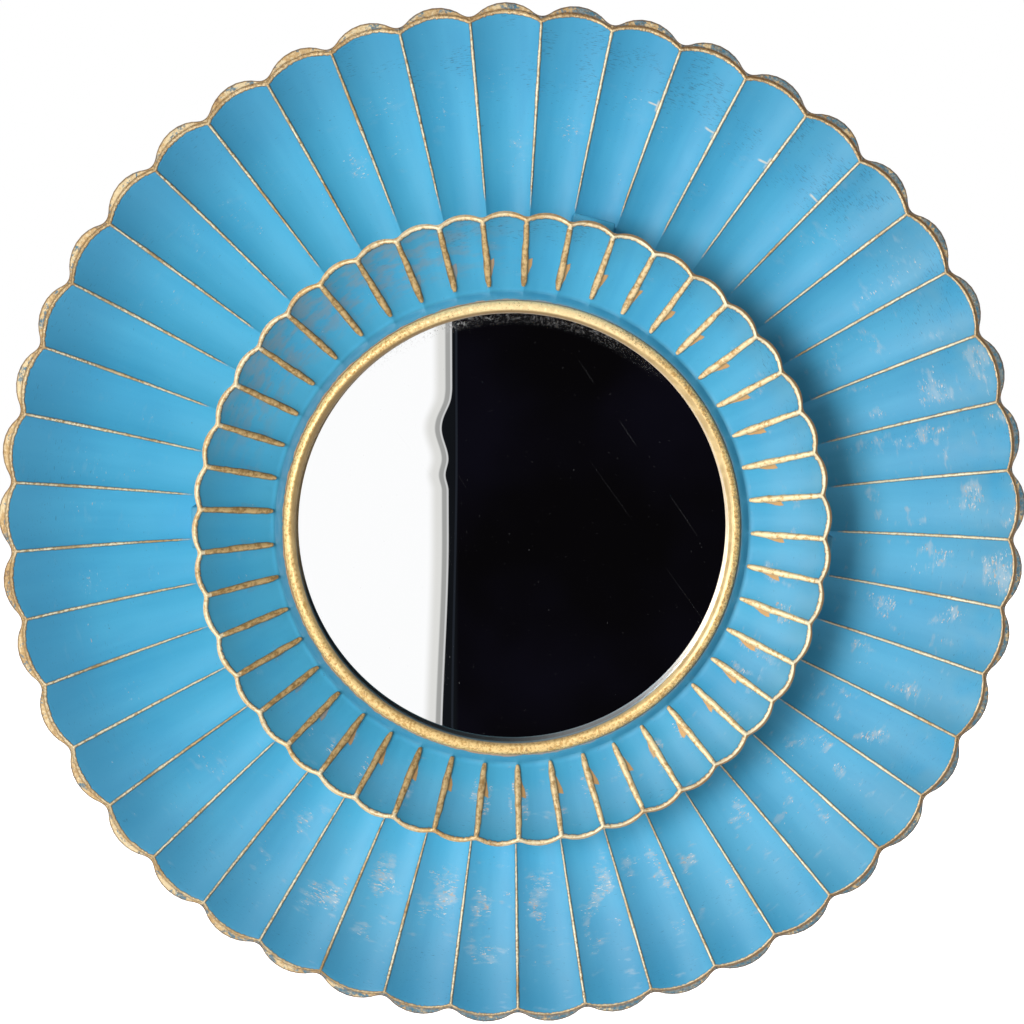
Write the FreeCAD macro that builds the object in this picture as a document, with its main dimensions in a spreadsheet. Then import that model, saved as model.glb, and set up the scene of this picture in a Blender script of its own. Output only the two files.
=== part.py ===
import FreeCAD, Part
import math
import os
from types import SimpleNamespace

import Sketcher

# A round wall mirror in two moulded tiers. A wide dish with scooped flutes carries a raised
# ring with flutes of its own, and the ring holds a small round glass behind a half-round bead.
# Each piece is drawn with its Z axis along the mirror's axis, Z zero at the wall and the front
# face towards plus Z. Its placement then turns it upright: the front faces minus Y, up is plus Z,
# and the origin is where the mirror's axis meets the wall.

# Sizes in millimetres, angles in degrees. Heights are measured forward from the wall.
SIZES = [
    ("flute_count", 45, "flutes round the dish, and round the ring"),
    ("cut_overrun", 1, "how far every cutter runs past what it cuts"),
    ("blank_cover", 3, "height of a blank above the lowest line of the flutes cut into it"),
    ("blank_trim", 0.05, "how far a blank is turned inside the crests of its scallops"),
    ("dish_turn", 2.7, "turn of the dish's flutes about the mirror's axis"),
    ("ring_turn", 3.3, "turn of the ring's flutes about the mirror's axis"),

    ("crest_radius", 125.6, "dish, widest reach of the scallops"),
    ("notch_radius", 122.35, "dish, bottom of the notch between two scallops"),
    ("notch_round", 3, "dish, rounding at the bottom of a notch"),
    ("rim_radius", 120.8, "dish, outer end of the ridges"),
    ("rim_height", 18.8, "dish, height of the ridges' outer ends"),
    ("lip_slope", 28, "dish, how steeply the lip falls outside the ridges"),
    ("lip_thickness", 1.8, "dish, height of the edge at a scallop's crest"),
    ("flute_rim_drop", 1.95, "dish, how far the flute's middle lies below the ridges at the rim"),
    ("flute_rim_depth", 2.1, "dish, depth of the flute's hollow at the rim"),
    ("flute_rim_slope", 20.7, "dish, slope of the flute's middle at the rim"),
    ("flute_hub_height", 8.3, "dish, height of the flute's middle where the flutes start"),
    ("flute_hub_inset", 4, "dish, how far inside the seat's edge the flutes start"),
    ("flute_hub_depth", 1.1, "dish, depth of the flute's hollow where the flutes start"),
    ("bowl_radius", 150, "dish, lengthwise curve of a flute"),
    ("bowl_back_radius", 210, "dish, curve of the back"),
    ("seat_radius", 70, "dish, round recess that locates the ring"),
    ("seat_height", 8.2, "dish, face that the ring stands on"),
    ("floor_thickness", 2.6, "dish, floor below the seat"),
    ("floor_opening_radius", 57, "dish, opening that the glass goes in by"),
    ("foot_radius", 71.6, "dish, inside of the foot at the back"),
    ("foot_width", 7, "dish, width of the foot"),
    ("foot_rib_height", 4.4, "dish, how far the foot stands behind the floor"),
    ("back_rise", 0.2, "dish, drop of the back beside the foot below the floor's back"),

    ("ring_crest_radius", 75.9, "ring, widest reach of its scallops"),
    ("ring_notch_radius", 74.6, "ring, bottom of the notch between two scallops"),
    ("ring_notch_round", 2.5, "ring, rounding at the bottom of a notch"),
    ("ring_rim_radius", 73.7, "ring, outer end of its ridges"),
    ("ring_rim_height", 32.3, "ring, height of the ridges' outer ends"),
    ("ring_lip_slope", 25.5, "ring, how steeply the lip falls outside the ridges"),
    ("ring_lip_thickness", 1.2, "ring, height of the edge at a scallop's crest"),
    ("ring_flute_rim_drop", 1.3, "ring, how far the flute's middle lies below the ridges at the rim"),
    ("ring_flute_rim_depth", 1.5, "ring, depth of the flute's hollow at the rim"),
    ("ring_flute_slope", 27.6, "ring, slope of a flute towards the glass"),
    ("ring_flute_end_radius", 56.8, "ring, inner end of the flutes"),
    ("ring_flute_end_depth", 0.8, "ring, depth of the flute's hollow at its inner end"),
    ("ring_base_clearance", 0.3, "ring, gap between its foot and the edge of the seat"),
    ("ring_wall", 2.2, "ring, wall thickness"),
    ("ring_foot_height", 4, "ring, upright part of the outer wall above the seat"),
    ("ring_waist_inset", 1.2, "ring, how far the outer wall's top lies inside the notches"),
    ("ring_skin", 2.3, "ring, thickness of the fluted skin below the flutes"),
    ("cove_height", 22.2, "ring, bottom of the plain cove between the flutes and the bead"),
    ("bar_radius", 0.8, "ring, radius of the bar along each ridge"),
    ("bar_sink", 0.25, "ring, how far a bar's centre lies below its ridge"),
    ("bar_end_radius", 57.2, "ring, inner end of the bars"),

    ("lug_width", 10.2, "ring, width of a lug"),
    ("lug_radius", 77, "ring, outer face of a lug"),
    ("lug_root_radius", 69, "ring, inner face of a lug, inside the wall"),
    ("lug_top_height", 25, "ring, top of a lug"),
    ("lug_gap", 0.9, "ring, height of a lug above the start of the ridges of the dish"),

    ("boss_count", 8, "ring, bosses that take the screws"),
    ("boss_circle_radius", 62.6, "ring, circle of the screw bosses"),
    ("boss_radius", 3, "ring, screw boss"),
    ("pilot_depth", 10, "ring, depth of the pilot holes"),

    ("glass_radius", 56.2, "glass, radius"),
    ("glass_thickness", 3, "glass, thickness"),
    ("glass_front_height", 20.2, "glass, height of its face"),
    ("glass_edge", 0.4, "glass, arris ground off each edge"),
    ("glass_clearance", 0.4, "gap round the glass in the ring"),
    ("bead_outer_radius", 55.1, "bead, outside of the half-round"),
    ("bead_inner_radius", 52.1, "bead, inside of the half-round"),
    ("bead_clearance", 0.2, "bead, gap to the ring all round"),
    ("bead_flange_radius", 56.3, "bead, flange behind the ring's web"),
    ("bead_flange_thickness", 1.1, "bead, thickness of the flange"),
    ("bead_spring_height", 22.9, "bead, height where the half-round springs"),
    ("bead_web_gap", 0.1, "bead, gap between the flange and the ring's web"),

    ("liner_radius", 56, "card liner, radius"),
    ("liner_thickness", 0.6, "card liner, thickness"),
    ("foam_radius", 55.8, "foam pad, radius"),
    ("foam_edge", 0.8, "foam pad, bevel of its edges"),
    ("board_clearance", 0.4, "backing board, gap to the foot"),
    ("board_thickness", 2.4, "backing board, thickness"),

    ("screw_count", 4, "screws in each of the two sets"),
    ("screw_shank_radius", 1.2, "screws, core of the shank"),
    ("screw_fit", 0.05, "screws, gap in the pilot hole"),
    ("screw_hole_gap", 0.4, "screws, gap in a clearance hole"),
    ("sunk_head_radius", 3, "ring screws, countersunk head"),
    ("sunk_head_height", 1.7, "ring screws, depth of the head"),
    ("sunk_head_gap", 0.12, "ring screws, gap round the head"),
    ("ring_screw_reach", 8.5, "ring screws, reach into the boss"),
    ("pan_head_radius", 2.8, "board screws, pan head"),
    ("pan_head_height", 1.5, "board screws, height of the head"),
    ("pan_head_round", 0.7, "board screws, rounding of the head"),
    ("board_screw_reach", 7.5, "board screws, reach into the boss"),
    ("screw_point", 1.2, "screws, length of the point"),
    ("recess_width", 0.8, "screws, width of a slot of the cross recess"),
    ("recess_length", 3, "screws, length of a slot of the cross recess"),
    ("recess_depth", 0.9, "screws, depth of the cross recess"),

    ("bumper_count", 4, "wall bumpers"),
    ("bumper_radius", 2.9, "wall bumper, radius"),
    ("bumper_edge", 0.25, "wall bumper, bevel of its back edge"),

    ("wire_radius", 0.75, "hanger ring, wire"),
    ("hinge_fit", 0.08, "hanger, gap between the wire and the strap's eye"),
    ("strap_metal", 0.6, "hanger strap, thickness of the metal"),
    ("strap_width", 9, "hanger strap, width"),
    ("strap_length", 22, "hanger strap, from the ring's axis to its lower end"),
    ("strap_corner", 3, "hanger strap, rounding of its lower corners"),
    ("pivot_up", 57, "hanger, height of the ring's axis above the mirror's axis"),
    ("loop_half_width", 7, "hanger ring, centre line from the middle to a side"),
    ("loop_corner", 2, "hanger ring, bend beside the eye"),
    ("loop_rest_gap", 0.15, "hanger ring, gap to the strap where it hangs"),
    ("rivet_radius", 1.3, "rivets, shank"),
    ("rivet_fit", 0.1, "rivets, gap in their holes"),
    ("rivet_head_radius", 2.2, "rivets, head"),
    ("rivet_head_height", 0.9, "rivets, height of the head"),
    ("rivet_tail_radius", 2, "rivets, spread tail"),
    ("rivet_tail_height", 0.6, "rivets, height of the tail"),
    ("upper_rivet_drop", 4.7, "rivets, upper one below the ring's axis"),
    ("lower_rivet_drop", 17, "rivets, lower one below the ring's axis"),
    ("tail_pocket_gap", 0.5, "foam pad, gap round the rivets' tails"),
]

# Lugs stand under four of the ring's flutes, counted from the flute on the X axis.
LUG_FLUTES = (9, -1, -12, 22)


class Size:
    """A length or angle: its number, and the expression on the sheet's cells that gives it."""

    def __init__(self, number, text):
        self.number = number
        self.text = text

    def __add__(self, other):
        other = as_size(other)
        return Size(self.number + other.number, f"({self.text} + {other.text})")

    def __sub__(self, other):
        other = as_size(other)
        return Size(self.number - other.number, f"({self.text} - {other.text})")

    def __mul__(self, other):
        other = as_size(other)
        return Size(self.number * other.number, f"({self.text} * {other.text})")

    def __truediv__(self, other):
        other = as_size(other)
        return Size(self.number / other.number, f"({self.text} / {other.text})")

    def __rsub__(self, other):
        return as_size(other) - self

    def __rtruediv__(self, other):
        return as_size(other) / self

    def __neg__(self):
        return Size(-self.number, f"(0 - {self.text})")

    __radd__ = __add__
    __rmul__ = __mul__


def as_size(value):
    return value if isinstance(value, Size) else Size(value, repr(value))


def sin_of(angle):
    return Size(math.sin(math.radians(angle.number)), f"sin({angle.text})")


def cos_of(angle):
    return Size(math.cos(math.radians(angle.number)), f"cos({angle.text})")


def tan_of(angle):
    return Size(math.tan(math.radians(angle.number)), f"tan({angle.text})")


def root_of(square):
    return Size(math.sqrt(square.number), f"sqrt({square.text})")


def fill_sheet(doc):
    """Put every size in a cell with an alias, and give each back as a Size under its name."""
    sheet = doc.addObject("Spreadsheet::Sheet", "sizes")
    named = SimpleNamespace()
    for row, (alias, value, note) in enumerate(SIZES, start=1):
        sheet.set(f"A{row}", alias)
        sheet.set(f"B{row}", str(value))
        sheet.setAlias(f"B{row}", alias)
        sheet.set(f"C{row}", note)
        setattr(named, alias, Size(value, f"<<sizes>>.{alias}"))
    doc.recompute()
    return named


doc = FreeCAD.newDocument("wall_mirror")
s = fill_sheet(doc)

# Levels and radii that several pieces share.
half_pitch = 180 / s.flute_count
seat_back = s.seat_height - s.floor_thickness
board_back = seat_back - s.board_thickness
foot_back = seat_back - s.foot_rib_height
foot_outer = s.foot_radius + s.foot_width
glass_back = s.glass_front_height - s.glass_thickness
liner_back = glass_back - s.liner_thickness
web_back = s.glass_front_height + s.bead_flange_thickness + s.bead_web_gap
glass_bore = s.glass_radius + s.glass_clearance
screw_hole = s.screw_shank_radius + s.screw_hole_gap
pilot_radius = s.screw_shank_radius + s.screw_fit
eye_outer = s.wire_radius + s.hinge_fit + s.strap_metal
pivot_height = board_back - eye_outer
strap_back = board_back - s.strap_metal * 2


def origin_part(body, role):
    return next(part for part in body.Origin.OriginFeatures if part.Role == role)


def new_body(name):
    body = doc.addObject("PartDesign::Body", name)
    body.Label = name
    return body


def bind(thing, path, size):
    thing.setExpression(path, as_size(size).text)


def new_sketch(body, name, plane, turn=None, height=None):
    """A sketch on one of the body's origin planes, turned about the mirror's axis or raised."""
    sketch = body.newObject("Sketcher::SketchObject", name)
    sketch.AttachmentSupport = [(origin_part(body, plane), "")]
    sketch.MapMode = "FlatFace"
    turn = as_size(0) if turn is None else turn
    height = as_size(0) if height is None else height
    turn_axis = FreeCAD.Vector(0, 1, 0) if plane == "XZ_Plane" else FreeCAD.Vector(0, 0, 1)
    base = FreeCAD.Vector(0, 0, height.number)
    turned = FreeCAD.Rotation(turn_axis, turn.number)
    sketch.AttachmentOffset = FreeCAD.Placement(base, turned)
    if turn.number:
        bind(sketch, "AttachmentOffset.Rotation.Angle", turn)
    if height.number:
        bind(sketch, "AttachmentOffset.Base.z", height)
    return sketch


def pin_point(sketch, edge, end, point):
    """Tie one end of an edge to the sketch's origin by its two distances."""
    for kind, axis, size in (("DistanceX", -2, point[0]), ("DistanceY", -1, point[1])):
        size = as_size(size)
        if size.number == 0:
            sketch.addConstraint(Sketcher.Constraint("PointOnObject", edge, end, axis))
            continue
        tie = sketch.addConstraint(Sketcher.Constraint(kind, -1, 1, edge, end, size.number))
        bind(sketch, f"Constraints[{tie}]", size)


def arc_edge(start, finish, radius, side):
    """An arc of less than half a circle. Side +1 bulges to the right of the way it is walked."""
    chord = finish - start
    across = FreeCAD.Vector(-chord.y, chord.x, 0).normalize()
    half = chord.Length / 2
    rise = radius - math.sqrt(radius * radius - half * half)
    middle = (start + finish) * 0.5 - across * rise * side
    return Part.Arc(start, middle, finish)


def draw_outline(sketch, points, arcs=None):
    """Close an outline through the points. Arcs give the radius and side of an edge by number."""
    arcs = arcs or {}
    places = [FreeCAD.Vector(as_size(x).number, as_size(y).number, 0) for x, y in points]
    ends = []
    for number, start in enumerate(places):
        finish = places[(number + 1) % len(places)]
        if number in arcs:
            radius, side = arcs[number]
            edge = sketch.addGeometry(arc_edge(start, finish, radius.number, side))
            ends.append((edge, 1, 2) if side > 0 else (edge, 2, 1))
        else:
            edge = sketch.addGeometry(Part.LineSegment(start, finish))
            ends.append((edge, 1, 2))
    for number, (edge, first, last) in enumerate(ends):
        following, next_first = ends[(number + 1) % len(ends)][:2]
        join = Sketcher.Constraint("Coincident", edge, last, following, next_first)
        sketch.addConstraint(join)
    for number, (edge, first, last) in enumerate(ends):
        pin_point(sketch, edge, first, points[number])
        if number in arcs:
            radius = arcs[number][0]
            tie = sketch.addConstraint(Sketcher.Constraint("Radius", edge, radius.number))
            bind(sketch, f"Constraints[{tie}]", radius)


def draw_axis(sketch, start, finish):
    """A construction line for a turned feature to turn about."""
    places = [FreeCAD.Vector(as_size(x).number, as_size(y).number, 0) for x, y in (start, finish)]
    line = sketch.addGeometry(Part.LineSegment(places[0], places[1]), True)
    pin_point(sketch, line, 1, start)
    pin_point(sketch, line, 2, finish)


def draw_circle(sketch, centre, radius):
    place = FreeCAD.Vector(as_size(centre[0]).number, as_size(centre[1]).number, 0)
    up = FreeCAD.Vector(0, 0, 1)
    circle = sketch.addGeometry(Part.Circle(place, up, radius.number))
    pin_point(sketch, circle, 3, centre)
    tie = sketch.addConstraint(Sketcher.Constraint("Radius", circle, radius.number))
    bind(sketch, f"Constraints[{tie}]", radius)


def turned_feature(body, kind, sketch, axis="V_Axis"):
    feature = body.newObject(kind, sketch.Name.replace("_outline", ""))
    feature.Profile = sketch
    feature.ReferenceAxis = (sketch, [axis])
    feature.Angle = 360
    body.Tip = feature
    return feature


def pushed_feature(body, kind, sketch, length, reverse=False, midplane=False):
    feature = body.newObject(kind, sketch.Name.replace("_outline", ""))
    feature.Profile = sketch
    feature.Reversed = reverse
    feature.Midplane = midplane
    bind(feature, "Length", length)
    body.Tip = feature
    return feature


def ring_of(body, name, features, count):
    """Repeat features evenly round the mirror's axis."""
    pattern = body.newObject("PartDesign::PolarPattern", name)
    pattern.Originals = features
    pattern.Axis = (origin_part(body, "Z_Axis"), [""])
    pattern.Angle = 360
    bind(pattern, "Occurrences", count)
    body.Tip = pattern
    return pattern


def stand_up(body, turn=None):
    """Turn a finished piece about its axis, then tip its front from plus Z to minus Y."""
    turn = as_size(0) if turn is None else turn
    about_axis = FreeCAD.Rotation(FreeCAD.Vector(0, 0, 1), turn.number)
    tip_forward = FreeCAD.Rotation(FreeCAD.Vector(1, 0, 0), 90)
    body.Placement = FreeCAD.Placement(FreeCAD.Vector(), tip_forward * about_axis)


def flute_radius(radius, depth):
    """Radius of a round cutter that leaves a hollow this deep between two ridges."""
    half_width = radius * sin_of(half_pitch)
    return half_width * half_width / (depth * 2) + depth / 2


def flute_cutter(body, name, inner, outer, inner_depth, outer_depth, bow=None):
    """A horn-shaped cut along one flute, whose lowest line runs from inner to outer."""
    sketch = new_sketch(body, name + "_outline", "XZ_Plane")
    inner_cut = flute_radius(inner[0], inner_depth)
    outer_cut = flute_radius(outer[0], outer_depth)
    run = outer[0] - inner[0]
    rise = outer[1] - inner[1]
    chord = root_of(run * run + rise * rise)
    flare_sine = (outer_cut - inner_cut) / chord
    flare_cosine = root_of(1 - flare_sine * flare_sine)
    tilt_sine = rise / chord * flare_cosine + run / chord * flare_sine
    tilt_cosine = run / chord * flare_cosine - rise / chord * flare_sine
    inner_axis = (inner[0] - inner_cut * tilt_sine, inner[1] + inner_cut * tilt_cosine)
    outer_axis = (outer[0] - outer_cut * tilt_sine, outer[1] + outer_cut * tilt_cosine)
    points = [inner_axis, inner, outer, outer_axis]
    draw_outline(sketch, points, {1: (bow, 1)} if bow else None)
    draw_axis(sketch, inner_axis, outer_axis)
    return turned_feature(body, "PartDesign::Groove", sketch, "Axis0")


def notch_cutter(body, name, crest, notch, rounding, height):
    """A cut that shapes the edge between two scallops, from one crest to the next."""
    sketch = new_sketch(body, name + "_outline", "XY_Plane", turn=half_pitch)
    valley = notch + rounding
    cosine = cos_of(half_pitch)
    sine = sin_of(half_pitch)
    gap = crest * crest + valley * valley - valley * crest * cosine * 2 - rounding * rounding
    lobe = gap / ((crest + rounding - valley * cosine) * 2)
    lobe_x = (crest - lobe) * cosine
    lobe_y = (crest - lobe) * sine
    meet = rounding / (lobe + rounding)
    meet_x = valley + (lobe_x - valley) * meet
    meet_y = lobe_y * meet
    crest_x = crest * cosine
    crest_y = crest * sine
    past_x = (crest + s.cut_overrun) * cosine
    past_y = (crest + s.cut_overrun) * sine
    points = [
        (meet_x, -meet_y), (crest_x, -crest_y), (past_x, -past_y),
        (past_x, past_y), (crest_x, crest_y), (meet_x, meet_y),
    ]
    arcs = {0: (lobe, 1), 4: (lobe, 1), 5: (rounding, -1)}
    draw_outline(sketch, points, arcs)
    return pushed_feature(body, "PartDesign::Pocket", sketch, height, reverse=True)


def screw_cut(body, name, points, turn):
    """A turned cut on the screws' circle, repeated once for each screw of a set."""
    sketch = new_sketch(body, name + "_outline", "XZ_Plane", turn=turn)
    draw_outline(sketch, points)
    draw_axis(sketch, (s.boss_circle_radius, 0), (s.boss_circle_radius, s.seat_height))
    cut = turned_feature(body, "PartDesign::Groove", sketch, "Axis0")
    return ring_of(body, name + "_holes", [cut], s.screw_count)


def quarter_turn(turn):
    """Turn from one set of screws to the other, less the turn of the piece itself."""
    return 180 / s.screw_count - turn


def lip_fall(slope, radius, rim_radius):
    return (radius - rim_radius) * tan_of(slope)


def make_dish():
    """The wide moulded dish: flutes in front, a smooth back and a foot ring for the board."""
    body = new_body("outer_fluted_dish")
    blank_crest = s.crest_radius - s.blank_trim
    edge_top = s.rim_height - lip_fall(s.lip_slope, blank_crest, s.rim_radius)
    peak_radius = s.rim_radius - s.lip_thickness
    peak_height = s.rim_height + lip_fall(s.lip_slope, s.rim_radius, peak_radius)
    edge_back = edge_top - s.lip_thickness
    outline = new_sketch(body, "dish_blank_outline", "XZ_Plane")
    points = [
        (s.floor_opening_radius, s.seat_height),
        (s.floor_opening_radius, seat_back),
        (s.foot_radius, seat_back),
        (s.foot_radius, foot_back),
        (foot_outer, foot_back),
        (foot_outer, seat_back - s.back_rise),
        (blank_crest, edge_back),
        (blank_crest, edge_top),
        (peak_radius, peak_height),
        (s.seat_radius, s.flute_hub_height + s.blank_cover),
        (s.seat_radius, s.seat_height),
    ]
    draw_outline(outline, points, {5: (s.bowl_back_radius, 1)})
    turned_feature(body, "PartDesign::Revolution", outline)
    flute_inner = (s.seat_radius - s.flute_hub_inset, s.flute_hub_height)
    flute_outer_radius = s.crest_radius + s.cut_overrun
    flute_rise = (flute_outer_radius - s.rim_radius) * tan_of(s.flute_rim_slope)
    flute_outer = (flute_outer_radius, s.rim_height - s.flute_rim_drop + flute_rise)
    flute = flute_cutter(
        body, "dish_flute", flute_inner, flute_outer,
        s.flute_hub_depth, s.flute_rim_depth, s.bowl_radius)
    notch = notch_cutter(
        body, "dish_notch", s.crest_radius, s.notch_radius, s.notch_round,
        s.rim_height + s.cut_overrun)
    ring_of(body, "dish_flutes", [flute, notch], s.flute_count)
    axis = s.boss_circle_radius
    above = s.seat_height + s.cut_overrun
    below = seat_back - s.cut_overrun
    sunk_radius = s.sunk_head_radius + s.sunk_head_gap
    sunk_top = seat_back + s.sunk_head_height + s.sunk_head_gap
    screw_cut(body, "ring_screw", [
        (axis, below), (axis + sunk_radius, below), (axis + sunk_radius, seat_back),
        (axis + screw_hole, sunk_top), (axis + screw_hole, above), (axis, above),
    ], -s.dish_turn)
    screw_cut(body, "board_screw", [
        (axis, below), (axis + screw_hole, below), (axis + screw_hole, above), (axis, above),
    ], quarter_turn(s.dish_turn))
    stand_up(body, s.dish_turn)
    return body


def ring_flute_line(radius):
    """Height of the lowest line of the ring's flutes at a radius."""
    middle_height = s.ring_rim_height - s.ring_flute_rim_drop
    return middle_height + (radius - s.ring_rim_radius) * tan_of(s.ring_flute_slope)


def add_lug(body, name, flute_number):
    """A block one flute wide that backs the ring's outer wall, just above the dish."""
    turn = half_pitch * 2 * flute_number
    foot = s.flute_hub_height + s.flute_hub_depth + s.lug_gap
    sketch = new_sketch(body, name + "_outline", "XY_Plane", turn=turn, height=foot)
    half = s.lug_width / 2
    draw_outline(sketch, [
        (s.lug_root_radius, -half), (s.lug_radius, -half),
        (s.lug_radius, half), (s.lug_root_radius, half),
    ])
    pushed_feature(body, "PartDesign::Pad", sketch, s.lug_top_height - foot)


def make_ring():
    """The raised ring: a fluted collar, hollow behind, with lugs and screw bosses."""
    body = new_body("inner_fluted_ring")
    blank_crest = s.ring_crest_radius - s.blank_trim
    edge_top = s.ring_rim_height - lip_fall(s.ring_lip_slope, blank_crest, s.ring_rim_radius)
    edge_back = edge_top - s.ring_lip_thickness
    peak_radius = s.ring_rim_radius - s.ring_lip_thickness
    peak_height = s.ring_rim_height + lip_fall(s.ring_lip_slope, s.ring_rim_radius, peak_radius)
    foot_radius = s.seat_radius - s.ring_base_clearance
    foot_top = s.seat_height + s.ring_foot_height
    waist_radius = s.ring_notch_radius - s.ring_waist_inset
    waist_height = edge_back - s.ring_lip_thickness
    bead_bore = s.bead_outer_radius + s.bead_clearance
    bore_wall = glass_bore + s.ring_wall
    skin_inner = ring_flute_line(bore_wall) - s.ring_skin
    skin_outer_radius = waist_radius - s.ring_wall
    skin_outer = ring_flute_line(skin_outer_radius) - s.ring_skin
    outline = new_sketch(body, "ring_blank_outline", "XZ_Plane")
    draw_outline(outline, [
        (glass_bore, s.seat_height),
        (bore_wall, s.seat_height),
        (bore_wall, skin_inner),
        (skin_outer_radius, skin_outer),
        (foot_radius - s.ring_wall, foot_top),
        (foot_radius - s.ring_wall, s.seat_height),
        (foot_radius, s.seat_height),
        (foot_radius, foot_top),
        (waist_radius, waist_height),
        (blank_crest, edge_back),
        (blank_crest, edge_top),
        (peak_radius, peak_height),
        (s.bar_end_radius, ring_flute_line(s.bar_end_radius) + s.blank_cover),
        (s.bar_end_radius, s.cove_height),
        (bead_bore, s.cove_height),
        (bead_bore, web_back),
        (glass_bore, web_back),
    ])
    turned_feature(body, "PartDesign::Revolution", outline)
    flute_outer_radius = s.ring_crest_radius + s.cut_overrun
    flute = flute_cutter(
        body, "ring_flute",
        (s.ring_flute_end_radius, ring_flute_line(s.ring_flute_end_radius)),
        (flute_outer_radius, ring_flute_line(flute_outer_radius)),
        s.ring_flute_end_depth, s.ring_flute_rim_depth)
    notch = notch_cutter(
        body, "ring_notch", s.ring_crest_radius, s.ring_notch_radius, s.ring_notch_round,
        s.ring_rim_height + s.cut_overrun)
    ring_of(body, "ring_flutes", [flute, notch], s.flute_count)

    bar_slope = tan_of(s.ring_flute_slope) + (s.ring_flute_rim_depth - s.ring_flute_end_depth) / (
        s.ring_rim_radius - s.ring_flute_end_radius)
    bar_outer = (s.ring_rim_radius, s.ring_rim_height - s.bar_sink)
    bar_inner = (
        s.bar_end_radius,
        s.ring_rim_height - s.bar_sink - (s.ring_rim_radius - s.bar_end_radius) * bar_slope)
    bar_run = s.ring_rim_radius - s.bar_end_radius
    bar_length = bar_run * root_of(1 + bar_slope * bar_slope)
    side_x = bar_run * bar_slope / bar_length * s.bar_radius
    side_y = bar_run / bar_length * s.bar_radius
    bar = new_sketch(body, "ridge_bar_outline", "XZ_Plane", turn=half_pitch)
    draw_outline(bar, [
        (bar_inner[0] - side_y, bar_inner[1] - side_x),
        bar_outer,
        (bar_outer[0] - side_x, bar_outer[1] + side_y),
        (bar_inner[0] - side_x, bar_inner[1] + side_y),
    ], {3: (s.bar_radius, 1)})
    draw_axis(bar, bar_inner, bar_outer)
    bar_feature = turned_feature(body, "PartDesign::Revolution", bar, "Axis0")
    ring_of(body, "ridge_bars", [bar_feature], s.flute_count)

    for place, flute_number in enumerate(LUG_FLUTES):
        add_lug(body, f"lug_{place}", flute_number)

    boss = new_sketch(body, "boss_outline", "XY_Plane", turn=-s.ring_turn, height=s.seat_height)
    draw_circle(boss, (s.boss_circle_radius, 0), s.boss_radius)
    boss_top = ring_flute_line(s.boss_circle_radius - s.boss_radius) - s.ring_skin / 2
    boss_pad = pushed_feature(body, "PartDesign::Pad", boss, boss_top - s.seat_height)
    ring_of(body, "bosses", [boss_pad], s.boss_count)
    pilot = new_sketch(body, "pilot_outline", "XY_Plane", turn=-s.ring_turn, height=s.seat_height)
    draw_circle(pilot, (s.boss_circle_radius, 0), pilot_radius)
    pilot_pocket = pushed_feature(body, "PartDesign::Pocket", pilot, s.pilot_depth, reverse=True)
    ring_of(body, "pilots", [pilot_pocket], s.boss_count)
    stand_up(body, s.ring_turn)
    return body


def make_bead():
    """The half-round bead round the glass. Its flange is caught behind the ring's web."""
    body = new_body("glazing_bead")
    outline = new_sketch(body, "bead_outline", "XZ_Plane")
    flange_top = s.glass_front_height + s.bead_flange_thickness
    bead_half_width = (s.bead_outer_radius - s.bead_inner_radius) / 2
    crown = s.bead_inner_radius + bead_half_width
    crown_height = s.bead_spring_height + bead_half_width
    draw_outline(outline, [
        (s.bead_inner_radius, s.glass_front_height),
        (s.bead_flange_radius, s.glass_front_height),
        (s.bead_flange_radius, flange_top),
        (s.bead_outer_radius, flange_top),
        (s.bead_outer_radius, s.bead_spring_height),
        (crown, crown_height),
        (s.bead_inner_radius, s.bead_spring_height),
    ], {4: (bead_half_width, 1), 5: (bead_half_width, 1)})
    turned_feature(body, "PartDesign::Revolution", outline)
    stand_up(body)
    return body


def bevelled_disc(name, radius, back, front, edge):
    """A plain disc with both edges bevelled, as a ground glass or a cut pad."""
    body = new_body(name)
    outline = new_sketch(body, name + "_outline", "XZ_Plane")
    draw_outline(outline, [
        (0, back), (radius - edge, back), (radius, back + edge),
        (radius, front - edge), (radius - edge, front), (0, front),
    ])
    turned_feature(body, "PartDesign::Revolution", outline)
    stand_up(body)
    return body


def make_foam():
    """The foam pad that presses the glass forward, relieved round the rivets' tails."""
    body = bevelled_disc("foam_pad", s.foam_radius, seat_back, liner_back, s.foam_edge)
    relief = new_sketch(body, "relief_outline", "XY_Plane", height=seat_back)
    half = s.rivet_tail_radius + s.tail_pocket_gap
    top = s.pivot_up - s.upper_rivet_drop + half
    bottom = s.pivot_up - s.lower_rivet_drop - half
    draw_outline(relief, [(-half, bottom), (half, bottom), (half, top), (-half, top)])
    depth = s.rivet_tail_height + s.tail_pocket_gap
    pushed_feature(body, "PartDesign::Pocket", relief, depth, reverse=True)
    return body


def make_liner():
    """The card disc that keeps the foam off the silvering."""
    liner = doc.addObject("Part::Cylinder", "card_liner")
    liner.Label = "card_liner"
    bind(liner, "Radius", s.liner_radius)
    bind(liner, "Height", s.liner_thickness)
    tip_forward = FreeCAD.Rotation(FreeCAD.Vector(1, 0, 0), 90)
    liner.Placement = FreeCAD.Placement(FreeCAD.Vector(0, -liner_back.number, 0), tip_forward)
    bind(liner, "Placement.Base.y", -liner_back)
    return liner


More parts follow.
